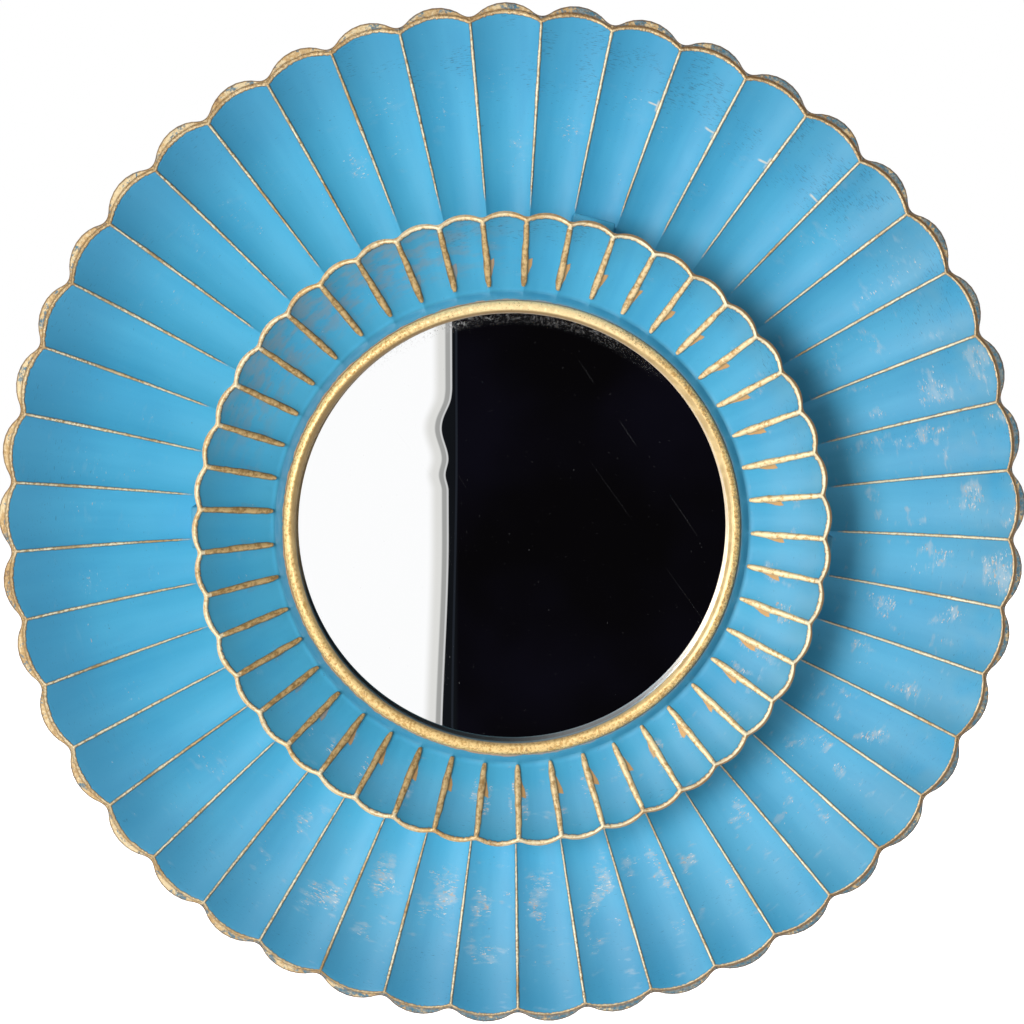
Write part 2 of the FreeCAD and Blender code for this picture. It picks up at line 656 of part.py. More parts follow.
def make_board():
    """The hardboard disc that closes the back and carries the hanger."""
    body = new_body("backing_board")
    disc = new_sketch(body, "board_outline", "XY_Plane", height=board_back)
    draw_circle(disc, (0, 0), s.foot_radius - s.board_clearance)
    pushed_feature(body, "PartDesign::Pad", disc, s.board_thickness)
    axis = s.boss_circle_radius
    above = seat_back + s.cut_overrun
    below = board_back - s.cut_overrun
    screw_cut(body, "board_screw", [
        (axis, below), (axis + screw_hole, below), (axis + screw_hole, above), (axis, above),
    ], quarter_turn(as_size(0)))
    holes = new_sketch(body, "rivet_hole_outline", "XY_Plane", height=board_back)
    for drop in (s.upper_rivet_drop, s.lower_rivet_drop):
        draw_circle(holes, (0, s.pivot_up - drop), s.rivet_radius + s.rivet_fit)
    pushed_feature(body, "PartDesign::Pocket", holes, s.board_thickness, reverse=True)
    stand_up(body)
    return body


def make_screws(name, profile, arcs, head_back, turn):
    """One set of screws on the boss circle, each with a cross recess in its head."""
    body = new_body(name)
    body.AllowCompound = True
    sketch = new_sketch(body, name + "_outline", "XZ_Plane", turn=turn)
    draw_outline(sketch, profile, arcs)
    draw_axis(sketch, profile[0], profile[-1])
    screw = turned_feature(body, "PartDesign::Revolution", sketch, "Axis0")
    features = [screw]
    long_half = s.recess_length / 2
    short_half = s.recess_width / 2
    for number, (half_x, half_y) in enumerate(((long_half, short_half), (short_half, long_half))):
        slot = new_sketch(body, f"slot_{number}_outline", "XY_Plane", turn=turn, height=head_back)
        centre = s.boss_circle_radius
        draw_outline(slot, [
            (centre - half_x, -half_y), (centre + half_x, -half_y),
            (centre + half_x, half_y), (centre - half_x, half_y),
        ])
        cut = pushed_feature(body, "PartDesign::Pocket", slot, s.recess_depth, reverse=True)
        features.append(cut)
    ring_of(body, name + "_set", features, s.screw_count)
    stand_up(body)
    return body


def make_ring_screws():
    """Countersunk screws from the back of the dish into the ring."""
    axis = s.boss_circle_radius
    shank = axis + s.screw_shank_radius
    end = s.seat_height + s.ring_screw_reach
    return make_screws("ring_screws", [
        (axis, seat_back), (axis + s.sunk_head_radius, seat_back),
        (shank, seat_back + s.sunk_head_height), (shank, end - s.screw_point), (axis, end),
    ], None, seat_back, as_size(0))


def make_board_screws():
    """Pan-head screws through the board and the dish's floor into the ring."""
    axis = s.boss_circle_radius
    shank = axis + s.screw_shank_radius
    head = axis + s.pan_head_radius
    back = board_back - s.pan_head_height
    end = s.seat_height + s.board_screw_reach
    return make_screws("board_screws", [
        (axis, back), (head - s.pan_head_round, back), (head, back + s.pan_head_round),
        (head, board_back), (shank, board_back), (shank, end - s.screw_point), (axis, end),
    ], {1: (s.pan_head_round, 1)}, back, quarter_turn(as_size(0)))


def make_bumpers():
    """Felt dots on the back of the foot, which touch the wall."""
    body = new_body("wall_bumpers")
    body.AllowCompound = True
    sketch = new_sketch(body, "bumper_outline", "XZ_Plane", turn=180 / s.bumper_count)
    axis = s.foot_radius + s.foot_width / 2
    edge = axis + s.bumper_radius
    draw_outline(sketch, [
        (axis, 0), (edge - s.bumper_edge, 0), (edge, s.bumper_edge),
        (edge, foot_back), (axis, foot_back),
    ])
    draw_axis(sketch, (axis, 0), (axis, foot_back))
    bumper = turned_feature(body, "PartDesign::Revolution", sketch, "Axis0")
    ring_of(body, "bumpers", [bumper], s.bumper_count)
    stand_up(body)
    return body


def make_strap():
    """The steel strap of the hanger, folded double round the ring's straight side."""
    body = new_body("hanger_strap")
    plate = new_sketch(body, "plate_outline", "XY_Plane", height=strap_back)
    side = s.strap_width / 2
    low = s.pivot_up - s.strap_length
    draw_outline(plate, [
        (-side, s.pivot_up), (-side, low + s.strap_corner), (s.strap_corner - side, low),
        (side - s.strap_corner, low), (side, low + s.strap_corner), (side, s.pivot_up),
    ], {1: (s.strap_corner, 1), 3: (s.strap_corner, 1)})
    pushed_feature(body, "PartDesign::Pad", plate, s.strap_metal * 2)
    eye = new_sketch(body, "eye_outline", "YZ_Plane")
    draw_circle(eye, (s.pivot_up, pivot_height), eye_outer)
    pushed_feature(body, "PartDesign::Pad", eye, s.strap_width, midplane=True)
    bore = new_sketch(body, "bore_outline", "YZ_Plane")
    draw_circle(bore, (s.pivot_up, pivot_height), s.wire_radius + s.hinge_fit)
    bore_length = s.strap_width + s.cut_overrun * 2
    pushed_feature(body, "PartDesign::Pocket", bore, bore_length, midplane=True)
    holes = new_sketch(body, "strap_hole_outline", "XY_Plane", height=strap_back)
    for drop in (s.upper_rivet_drop, s.lower_rivet_drop):
        draw_circle(holes, (0, s.pivot_up - drop), s.rivet_radius + s.rivet_fit)
    pushed_feature(body, "PartDesign::Pocket", holes, s.strap_metal * 2, reverse=True)
    stand_up(body)
    return body


def make_hanger_ring():
    """The wire ring that goes over the wall hook. It is left hanging down on its strap."""
    body = new_body("hanger_ring")
    half = s.loop_half_width
    bend = s.loop_corner
    straight = half - bend
    path = new_sketch(body, "loop_path", "XY_Plane")
    draw_outline(path, [
        (0, 0), (-straight, 0), (-half, -bend), (0, -bend - half), (half, -bend), (straight, 0),
    ], {1: (bend, 1), 2: (half, 1), 3: (half, 1), 4: (bend, 1)})
    section = new_sketch(body, "wire_outline", "YZ_Plane")
    draw_circle(section, (0, 0), s.wire_radius)
    pipe = body.newObject("PartDesign::AdditivePipe", "wire_loop")
    pipe.Profile = section
    pipe.Spine = path
    body.Tip = pipe
    far_end = bend + half
    needed = pivot_height - (strap_back - s.wire_radius - s.loop_rest_gap)
    lean = math.degrees(math.asin(needed.number / far_end.number))
    tip_forward = FreeCAD.Rotation(FreeCAD.Vector(1, 0, 0), 90 + lean)
    pivot = FreeCAD.Vector(0, -pivot_height.number, s.pivot_up.number)
    body.Placement = FreeCAD.Placement(pivot, tip_forward)
    bind(body, "Placement.Base.y", -pivot_height)
    bind(body, "Placement.Base.z", s.pivot_up)
    return body


def make_rivets():
    """Two rivets that hold the strap to the board, spread on the board's front face."""
    body = new_body("hanger_rivets")
    body.AllowCompound = True
    head_back = strap_back - s.rivet_head_height
    for number, drop in enumerate((s.upper_rivet_drop, s.lower_rivet_drop)):
        centre = (0, s.pivot_up - drop)
        levels = (
            (s.rivet_head_radius, head_back, s.rivet_head_height),
            (s.rivet_radius, strap_back, seat_back - strap_back),
            (s.rivet_tail_radius, seat_back, s.rivet_tail_height),
        )
        for step, (radius, height, length) in enumerate(levels):
            name = f"rivet_{number}_{step}_outline"
            sketch = new_sketch(body, name, "XY_Plane", height=height)
            draw_circle(sketch, centre, radius)
            pushed_feature(body, "PartDesign::Pad", sketch, length)
    stand_up(body)
    return body


pieces = [
    make_dish(),
    make_ring(),
    make_bead(),
    bevelled_disc("mirror_glass", s.glass_radius, glass_back, s.glass_front_height, s.glass_edge),
    make_liner(),
    make_foam(),
    make_board(),
    make_ring_screws(),
    make_board_screws(),
    make_bumpers(),
    make_strap(),
    make_hanger_ring(),
    make_rivets(),
]
doc.recompute()

for thing in doc.Objects:
    if "Invalid" in thing.State or "Error" in thing.State:
        raise RuntimeError(f"{thing.Name} could not be made: {thing.State}")
    if thing.TypeId in ("PartDesign::Pocket", "PartDesign::Groove"):
        if not thing.Shape.Volume < thing.BaseFeature.Shape.Volume:
            raise RuntimeError(f"{thing.Name} cuts nothing")
for piece in pieces:
    if piece.Shape.isNull() or not piece.Shape.isValid() or not piece.Shape.Solids:
        raise RuntimeError(f"{piece.Label} has no sound solid")

os.makedirs("parts", exist_ok=True)
for piece in pieces:
    piece.Shape.exportStep(f"parts/{piece.Label}.step")
    box = piece.Shape.BoundBox
    print(
        piece.Label, "solids", len(piece.Shape.Solids), "faces", len(piece.Shape.Faces),
        "volume", round(piece.Shape.Volume), "size",
        round(box.XLength, 2), round(box.YLength, 2), round(box.ZLength, 2))
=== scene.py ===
import math

import bmesh
import bpy
from mathutils import Matrix, Vector, noise


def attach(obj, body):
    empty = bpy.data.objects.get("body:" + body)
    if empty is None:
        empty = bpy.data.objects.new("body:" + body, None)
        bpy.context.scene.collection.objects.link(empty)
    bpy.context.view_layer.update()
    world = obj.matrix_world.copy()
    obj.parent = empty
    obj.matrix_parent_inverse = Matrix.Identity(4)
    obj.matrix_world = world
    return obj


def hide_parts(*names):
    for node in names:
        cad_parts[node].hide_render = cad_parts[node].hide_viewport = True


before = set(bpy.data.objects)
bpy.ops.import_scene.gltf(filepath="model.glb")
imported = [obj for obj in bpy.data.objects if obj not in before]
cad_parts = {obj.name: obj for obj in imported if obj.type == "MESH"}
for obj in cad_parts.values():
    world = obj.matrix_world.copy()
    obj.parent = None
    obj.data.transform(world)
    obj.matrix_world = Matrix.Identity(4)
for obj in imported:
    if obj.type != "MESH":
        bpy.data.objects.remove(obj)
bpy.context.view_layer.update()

# Outer dish. A moulded resin bowl with 45 scooped flutes and a scalloped lip that turns down.
# It is sprayed sky blue, then gold is rubbed on the ridges and the rim and dry-brushed across
# the flutes. A foot ring at the back holds the board. Sizes in millimetres, heights from the wall.
mm = 0.001
flutes = 45
pitch = 2 * math.pi / flutes
dish_middle = 2.7  # degrees from the right up to the middle of a flute
dish_ridge = 3.3  # degrees from the top, clockwise, to a ridge
dish_crest, dish_notch, dish_notch_round = 125.55, 122.35, 3
dish_start, dish_start_height, dish_end, dish_end_height, dish_sag = 66, 8.3, 126.6, 19.04, 150
dish_lip_start, dish_lip_height, dish_lip_fall = 120.8, 18.8, math.radians(28)
dish_depth, dish_run_per_depth, dish_ridge_round, dish_lip_round = 1.1, 60, 0.4, 0.5
ridge_bump, bump_reach = 0.12, 0.35
crest_back, back_sag, edge_round = 14.47, 210, 0.3
foot_outside, foot_inside, foot_top, foot_face = 78.6, 71.6, 5.4, 1.2
dish_bore, floor_back, floor_front, seat_end = 57, 5.6, 8.2, 70
far = 9  # a distance from a ridge or an edge that no gold reaches
out_of_sight = 30  # a distance from the rim that only the bare back has


def sagging_arc(start, finish, radius):
    """Height against radius of an arc that sags between two points of a section."""
    run, rise = finish[0] - start[0], finish[1] - start[1]
    chord = math.hypot(run, rise)
    back = math.sqrt(radius ** 2 - chord ** 2 / 4) / chord
    centre_r = (start[0] + finish[0]) / 2 - rise * back
    centre_h = (start[1] + finish[1]) / 2 + run * back
    return lambda r: centre_h - math.sqrt(radius ** 2 - (r - centre_r) ** 2)


def scalloped(turn, crest, notch, rounding):
    """Radius of a scalloped outline at an angle from the nearest crest."""
    turn = abs(turn)
    valley = notch + rounding
    cosine = math.cos(pitch / 2)
    square = crest ** 2 + valley ** 2 - 2 * valley * crest * cosine - rounding ** 2
    lobe = square / (2 * (crest + rounding - valley * cosine))
    middle = crest - lobe
    share = rounding / (lobe + rounding)
    meet = math.atan2(middle * math.sin(pitch / 2) * share,
                      valley + (middle * cosine - valley) * share)
    if pitch / 2 - turn < meet:
        turn = pitch / 2 - turn
        return valley * math.cos(turn) - math.sqrt(rounding ** 2 - (valley * math.sin(turn)) ** 2)
    return middle * math.cos(turn) + math.sqrt(lobe ** 2 - (middle * math.sin(turn)) ** 2)


def within(value, low=0, high=1):
    """The value, kept between low and high."""
    return max(low, min(high, value))


def soft_lower(a, b, reach):
    """The lower of two heights, rounded over where they cross."""
    share = within(0.5 + (b - a) / reach / 2)
    return b + (a - b) * share - reach * share * (1 - share)


def scoop(radius, across, depth, ridge_round):
    """Rise of a flute's hollow from its middle, with a rounded ridge at its sides."""
    width = radius * math.sin(pitch / 2)
    out = abs(radius * math.sin(across * pitch / 2))
    left = width - out
    out += (left - math.hypot(left, ridge_round) + ridge_round) * (out / width) ** 3
    curve = width ** 2 / depth / 2 + depth / 2
    return curve - math.sqrt(curve ** 2 - min(out, width) ** 2)


def where_equal(low, high, difference):
    """Radius between two others where a rising difference passes zero."""
    for step in range(30):
        middle = (low + high) / 2
        low, high = (middle, high) if difference(middle) < 0 else (low, middle)
    return middle


def steps(start, finish, count):
    """Evenly spaced values that begin with start and stop one short of finish."""
    return [start + (finish - start) * i / count for i in range(count)]


def ridge_distance(radius, across):
    """Distance to the nearest ridge from a share of the way across a flute."""
    return radius * (math.sin(pitch / 2) - abs(math.sin(across * pitch / 2)))


def front_rows(radii, across, rim, edge, height_at):
    """Rows of a front: radius, height and the distances from the ridge, the rim and the edge."""
    return [(radius, height_at(radius), ridge_distance(radius, across), radius - rim, edge - radius)
            for radius in radii]


def side_rows(points, top, side):
    """Rows of an outer wall, where the distance from the edge grows as the wall goes down."""
    return [(radius, height, far, side, max(0, top - height - 0.1)) for radius, height in points]


dish_line = sagging_arc((dish_start, dish_start_height), (dish_end, dish_end_height), dish_sag)
dish_back = sagging_arc((foot_outside, foot_top), (dish_crest, crest_back), back_sag)


def dish_lip(radius):
    """Height of the lip, which falls outwards from where it meets the flutes."""
    return dish_lip_height - (radius - dish_lip_start) * math.tan(dish_lip_fall)


def dish_front(radius, across):
    """Height of the flutes, which deepen outwards and are rounded over where they meet the lip."""
    depth = dish_depth + (radius - dish_start) / dish_run_per_depth
    flute = dish_line(radius) + scoop(radius, across, depth, dish_ridge_round)
    flute += ridge_bump * math.exp(-(ridge_distance(radius, across) / bump_reach) ** 2)
    return soft_lower(flute, dish_lip(radius), dish_lip_round)


def dish_section(across):
    """Once round the dish's section: seat, flutes, lip, edge, back, foot, bore and floor."""
    edge = scalloped(across * pitch / 2, dish_crest, dish_notch, dish_notch_round)
    rim = where_equal(118, 124, lambda r: dish_line(r) - dish_lip(r) + scoop(r, across, 2, 0.01))
    radii = steps(seat_end, rim - 1.6, 17)
    radii += [rim + d for d in (-1.6, -1.1, -0.75, -0.5, -0.3, -0.12, 0.05, 0.22, 0.4, 0.65, 0.95)]
    radii += [*steps(rim + 1.25, edge - 0.15, 3), edge - 0.15]
    front = front_rows(radii, across, rim, edge, lambda r: dish_front(r, across))
    top, low = front[-1][1], dish_back(edge)
    wall = side_rows([(edge - 0.03, top - 0.12), (edge, top - edge_round), (edge, (top + low) / 2),
                      (edge, low + edge_round), (edge - 0.05, low + 0.1)], top, edge - rim)
    back = [(r, dish_back(r)) for r in steps(edge - edge_round, foot_outside, 9)]
    back += [(foot_outside, foot_top), (foot_outside, foot_face + edge_round),
             (foot_outside - edge_round, foot_face), (foot_inside + edge_round, foot_face),
             (foot_inside, foot_face + edge_round), (foot_inside, floor_back), (64, floor_back),
             (dish_bore + 0.2, floor_back), (dish_bore, floor_back + 0.2), (dish_bore, floor_front - 0.2),
             (dish_bore + 0.2, floor_front), (63, floor_front), (seat_end - edge_round, floor_front),
             (seat_end, dish_start_height)]
    return [*front, *wall, *((r, h, far, out_of_sight, far) for r, h in back), front[0]]


def fluted_shell(section, middle):
    """Loft one flute of a fluted piece, repeat it round the axis and close the seams."""
    half = [0, 0.25, 0.48, 0.65, 0.78, 0.87, 0.93, 0.965, 0.985, 1]
    columns = [-c for c in half[:0:-1]] + half
    shell = bmesh.new()
    marks = [shell.verts.layers.float.new(name) for name in ("from_ridge", "from_rim", "from_edge")]
    sides = shell.verts.layers.float.new("side")
    sections = [section(across) for across in columns]
    rows = len(sections[0])
    bmesh.ops.create_grid(shell, x_segments=len(columns) - 1, y_segments=rows - 1, size=1)
    for vert in shell.verts:
        column = round((vert.co.x + 1) / 2 * (len(columns) - 1))
        row = round((vert.co.y + 1) / 2 * (rows - 1))
        radius, height, *distances = sections[column][row]
        angle = columns[column] * pitch / 2
        for mark, distance in zip(marks, distances):
            vert[mark] = distance
        vert[sides] = columns[column]
        vert.co = radius * mm * math.cos(angle), radius * mm * math.sin(angle), height * mm
    geometry = shell.verts[:] + shell.edges[:] + shell.faces[:]
    bmesh.ops.spin(shell, geom=geometry, cent=(0, 0, 0), axis=(0, 0, 1),
                   angle=pitch * (flutes - 1), steps=flutes - 1, use_duplicate=True)
    bmesh.ops.remove_doubles(shell, verts=shell.verts, dist=0.002 * mm)
    turn_shell(shell, middle)
    return shell


def turn_shell(shell, degrees, axis="Z"):
    """Turn all of a piece about one of the axes through the origin."""
    bmesh.ops.rotate(shell, verts=shell.verts, cent=(0, 0, 0),
                     matrix=Matrix.Rotation(math.radians(degrees), 3, axis))


def uneven(place, *waves):
    """Millimetres of hand-made unevenness at a place, from waves with a scale and a depth each."""
    return sum(noise.noise(place * scale) * depth for scale, depth in waves)


def stand_up(shell):
    """Tip a piece drawn with its axis along Z so that its front faces minus Y."""
    turn_shell(shell, 90, "X")


def piece_from(shell, name, body, materials, sharp=35):
    """Turn a finished bmesh into an object that rides on a body of the frame."""
    bmesh.ops.recalc_face_normals(shell, faces=shell.faces)
    mesh = bpy.data.meshes.new(name)
    shell.to_mesh(mesh)
    shell.free()
    mesh.shade_smooth()
    mesh.set_sharp_from_angle(angle=math.radians(sharp))
    for material in materials:
        mesh.materials.append(material)
    piece = bpy.data.objects.new(name, mesh)
    bpy.context.scene.collection.objects.link(piece)
    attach(piece, body)
    return piece


class Signal:
    """A value on its way through a material's nodes, which plain sums can work on."""

    def __init__(self, finish, socket):
        self.finish = finish
        self.socket = socket

    def sum(self, operation, *others):
        inputs = {i: value for i, value in enumerate((self, *others))}
        return self.finish.out("Math", inputs, operation=operation)

    def __add__(self, other):
        return self.sum("ADD", other)

    def __sub__(self, other):
        return self.sum("SUBTRACT", other)

    def __mul__(self, other):
        return self.sum("MULTIPLY", other)

    def size(self):
        return self.sum("ABSOLUTE")

    def over(self, low, high):
        """Fades from 0 to 1 as the value passes from low to high."""
        inputs = {"Value": self, "From Min": low, "From Max": high}
        return self.finish.out("MapRange", inputs, interpolation_type="SMOOTHSTEP")


class Finish:
    """A material, with short calls for the nodes that give it its colour, sheen and relief."""

    def __init__(self, name, **shader):
        self.material = bpy.data.materials.new(name)
        self.material.use_nodes = True
        self.tree = self.material.node_tree
        self.shader = self.tree.nodes["Principled BSDF"]
        for socket, value in shader.items():
            self.set(socket, value)
        self.spot = self.out("TexCoord", key="Object")

    def feed(self, socket, value):
        if isinstance(value, Signal):
            self.tree.links.new(value.socket, socket)
        else:
            socket.default_value = value

    def set(self, socket, value):
        self.feed(self.shader.inputs[socket], value)

    def out(self, kind, inputs=None, key=0, **settings):
        node = self.tree.nodes.new("ShaderNode" + kind)
        for name, value in settings.items():
            setattr(node, name, value)
        for name, value in (inputs or {}).items():
            self.feed(node.inputs[name], value)
        return Signal(self, node.outputs[key])

    def mark(self, name):
        return self.out("Attribute", key="Fac", attribute_name=name)

    def vector(self, x, y, z):
        return self.out("CombineXYZ", {0: x, 1: y, 2: z})

    def noise(self, scale, detail=2.0, roughness=0.5, vector=None, distortion=0.0):
        return self.out("TexNoise", {
            "Vector": vector or self.spot, "Scale": scale, "Detail": detail,
            "Roughness": roughness, "Distortion": distortion})

    def mix(self, share, a, b):
        a = a if isinstance(a, Signal) else (*a, 1)
        b = b if isinstance(b, Signal) else (*b, 1)
        return self.out("Mix", {0: share, 6: a, 7: b}, key=2, data_type="RGBA")

    def relief(self, height, depth):
        """Raise the surface by height times depth in millimetres."""
        inputs = {"Height": height, "Distance": depth * mm, "Strength": 1.0}
        self.set("Normal", self.out("Bump", inputs))

    def measure(self):
        """Keep at hand each place's X, Y and Z and its distance from the mirror's axis."""
        self.x, self.y, self.z = [self.out("SeparateXYZ", {0: self.spot}, key=axis) for axis in "XYZ"]
        across = self.vector(self.x, 0, self.z)
        self.radius = self.out("VectorMath", {0: across}, key="Value", operation="LENGTH")

    def toward(self, clock_angle):
        """1 on the radius at an angle clockwise from the top, 0 at right angles, -1 opposite."""
        clock_angle = math.radians(clock_angle)
        along = self.x * math.sin(clock_angle) + self.z * math.cos(clock_angle)
        return along.sum("DIVIDE", self.radius)


sky_blue = (0.040, 0.324, 0.552)
pale_blue = (0.064, 0.388, 0.615)
gold_mid = (0.660, 0.400, 0.140)
gold_pale = (0.900, 0.690, 0.380)
gold_dark = (0.270, 0.145, 0.050)
gold_highlight = (0.98, 0.88, 0.62)
edge_brown = (0.15, 0.085, 0.04)
scuff_blue = (0.025, 0.09, 0.15)


class FlutePaint(Finish):
    """The paint of a fluted moulding, in the order of its real coats, with painted light and shade laid
    among them.
    """

    def __init__(self, name, first_ridge, mean_radius, flute_length):
        super().__init__(name)
        self.measure()
        turns = self.x.sum("ARCTAN2", self.z) - math.radians(first_ridge)
        turns = turns * (1 / pitch) + flutes * 2
        self.flute = turns.sum("FLOOR")
        self.share = turns.sum("FRACT")
        self.across = self.share * (pitch * mean_radius * mm)
        self.from_ridge = self.mark("from_ridge")
        self.from_rim = self.mark("from_rim")
        self.along = self.from_rim * (1 / flute_length)
        self.inside = self.from_rim.over(0.2, -0.5)
        self.left = self.toward(255).over(-0.4, 0.7)
        self.right_side = self.toward(85).over(-0.3, 0.6)
        self.lower_right = self.toward(140).over(-0.35, 0.6)
        self.patches = self.crossing(120, 2, 0.5, 0.9, 0.83)
        self.wander = self.noise(260, 3, 0.6)
        self.grain = self.noise(1500, 2, 0.6)

    def crossing(self, scale, detail, roughness, stretch, change, distortion=0.0):
        """Noise that runs across the flutes and changes from each flute to the next."""
        place = self.vector(self.across, self.radius * stretch, self.flute * change)
        return self.noise(scale, detail, roughness, place, distortion)

    def lay(self, share, colour):
        """Cover a share of all that is painted so far with a colour."""
        self.colour = self.mix(share, self.colour, colour)

    def spray(self, strength, rim_shade):
        """Sky blue, darker within the rim as paint and as painted shade, with painted light on the left and
        dust with a painted sheen at the lower right.
        """
        self.streaks = self.crossing(330, 3, 0.55, 0.12, 0.37)
        shade = self.streaks * 0.35 + self.noise(38, 2) * 0.65
        deep, light = [[c * strength for c in blue] for blue in (sky_blue, pale_blue)]
        self.colour = self.mix(shade.over(0.3, 0.7), deep, light)
        # Darker within the rim: partly the paint's own tone, partly painted shade that is deepest on the
        # left.
        self.lay(self.along.over(-0.55, -0.04) * (self.left * 0.30 + 0.34), rim_shade)
        # Painted light: a lighter, bluer patch towards the flutes' inner ends on the left.
        self.lay(self.left * self.along.over(-0.45, -0.9) * 0.30, (0.075, 0.460, 0.720))
        # Pale dust and a painted sheen over the flutes at the lower right.
        dust_and_sheen = self.lower_right * self.along.over(-0.9, -0.6) * self.along.over(-0.02, -0.35)
        self.lay(dust_and_sheen * 0.08, (0.40, 0.48, 0.52))

    def brush(self, reach):
        """A dry brush drawn across the flutes, which leaves haze, soft smears and crisp strokes."""
        self.strokes = self.crossing(920, 4, 0.66, 2.8, 0.61, 0.3)
        self.smears = self.crossing(210, 3, 0.6, 2.6, 0.47)
        rub = self.patches.over(0.46, 0.62) * reach * (self.lower_right * 0.5 + 0.5)
        soft = (self.smears + rub * 0.24).over(0.62, 0.90) * self.inside * (self.lower_right * 0.8 + 0.2)
        self.dry = (self.strokes + rub * 0.19).over(0.730, 0.80) * self.inside
        dusty_side = self.toward(88).over(0.45, 0.95)
        haze = dusty_side * self.along.over(-0.45, -0.05) * self.patches.over(0.3, 0.6) * self.inside
        self.lay(haze * 0.22, (0.22, 0.36, 0.39))
        soft_tone = self.patches.over(0.45, 0.6)
        self.lay(soft * 0.46, self.mix(soft_tone, (0.60, 0.42, 0.30), (0.42, 0.50, 0.55)))
        dry_tone = self.noise(900, 2).over(0.42, 0.6)
        self.lay(self.dry * 0.70, self.mix(dry_tone, (0.58, 0.38, 0.22), (0.76, 0.69, 0.59)))

    def scuff(self):
        """Dark scuffs between the brushed patches, and dark specks all over."""
        place = self.vector(self.across, self.radius * 5.5, self.flute * 0.29 + 4)
        scuffs = self.noise(700, 3, 0.7, place, 0.4)
        reach = self.patches.over(0.56, 0.44) * self.along.over(-0.6, -0.2) * self.inside
        top_side = self.toward(22).over(0.6, 0.95)
        self.lay((scuffs + reach * (top_side * 0.07 + 0.05)).over(0.67, 0.74) * 0.6, scuff_blue)
        self.lay(self.noise(1300, 1).over(0.79, 0.82) * 0.5, (0.05, 0.13, 0.20))

    def rub_ridges(self, width, taper, softness, start, finish):
        """Gold along the ridges, which starts and finishes at two distances from the axis."""
        self.ridge_depth = (taper * (self.wander * 0.7 + 0.65) * width - self.from_ridge
                            + (self.grain - 0.5) * (0.55 * width))
        self.kept = (self.radius + (self.wander - 0.5) * 0.010).over(start, finish)
        rubbed = self.ridge_depth.over(-softness, softness)
        self.on_ridge = rubbed * self.from_rim.over(0.4, 0.0) * self.kept

    def rub_rim(self, width, spared=None):
        """Gold along the rim, less of it where some is spared."""
        self.rim_width = width
        rolled = self.wander * 0.5 + self.grain * 0.6 + (width - 0.55)
        rim_depth = rolled - (self.from_rim - width * 0.45).size()
        if spared is not None:
            rim_depth = rim_depth - spared
        self.golden = self.on_ridge.sum("MAXIMUM", rim_depth.over(-0.08, 0.08))
        self.depth = self.ridge_depth.sum("MAXIMUM", rim_depth)

    def rubbed_gold(self):
        """Mid gold with paler high spots and brown where the rub was thin."""
        tone = self.noise(105, 2) * 0.5 + self.noise(1260, 3, 0.6) * 0.5
        low = self.mix(tone.over(0.32, 0.44), gold_dark, gold_mid)
        return self.mix(tone.over(0.44, 0.58), low, gold_pale)

    def paint_lip(self):
        """Rough grey-blue under broken gold outside the rim, with a brown edge."""
        rough = self.noise(1400, 2, 0.6) * 0.35 + self.noise(330, 3, 0.6) * 0.65
        under = self.noise(900, 3, 0.6).over(0.38, 0.64)
        under = self.mix(under, (0.055, 0.19, 0.28), (0.25, 0.29, 0.28))
        under = self.mix(self.noise(1700, 2, 0.7).over(0.50, 0.62) * 0.6, under, (0.17, 0.11, 0.05))
        gilt = (rough + self.toward(285).over(-0.3, 0.7) * 0.14).over(0.53, 0.61)
        start = self.rim_width * 0.7
        self.on_lip = self.from_rim.over(start, start + 0.3)
        self.gold = self.rubbed_gold()
        self.lay(self.on_lip, self.mix(gilt * 0.8, under, self.gold))
        brown = (self.mark("from_edge") + self.grain * 0.3).over(0.68, 0.36)
        self.lay(brown * self.from_rim.over(0.5, 1.0) * 0.85, edge_brown)

    def worn_gold(self, smear_and_shade, smear_and_shade_gold, highlight):
        """Gold with brown at its edges, dulled in places (a smear on the ring, painted shade on the dish),
        and a creamy painted highlight on its high spots.
        """
        # The brown is lighter on the right and darker on the left: painted light and shade.
        worn = self.mix(self.right_side, (0.20, 0.120, 0.05), (0.38, 0.215, 0.08))
        worn = self.mix(self.depth.over(-0.02, 0.17), worn, self.gold)
        worn = self.mix(smear_and_shade, worn, smear_and_shade_gold)
        # A creamy painted highlight on the gold's high spots, with more of it on the right.
        runs = (self.noise(70, 2) + self.right_side * 0.08).over(0.34, 0.56)
        runs = runs * (self.grain + self.right_side * 0.08).over(0.34, 0.58)
        return self.mix(self.depth.over(0.04, 0.24) * runs * highlight, worn, gold_highlight)

    def gild(self, gold):
        """The worn gold where it is kept, and a brown line just outside the rim that is darker on the
        right, where it is painted shade.
        """
        self.lay(self.golden * 0.95, gold)
        # Painted shade: a brown line on the rim's outer side, strongest on the right.
        outer_line = self.from_rim.over(0.14, 0.36) * (self.from_rim + self.grain * 0.6).over(1.55, 1.05)
        self.lay(outer_line * (self.right_side * 0.6 + 0.3), (0.25, 0.138, 0.050))

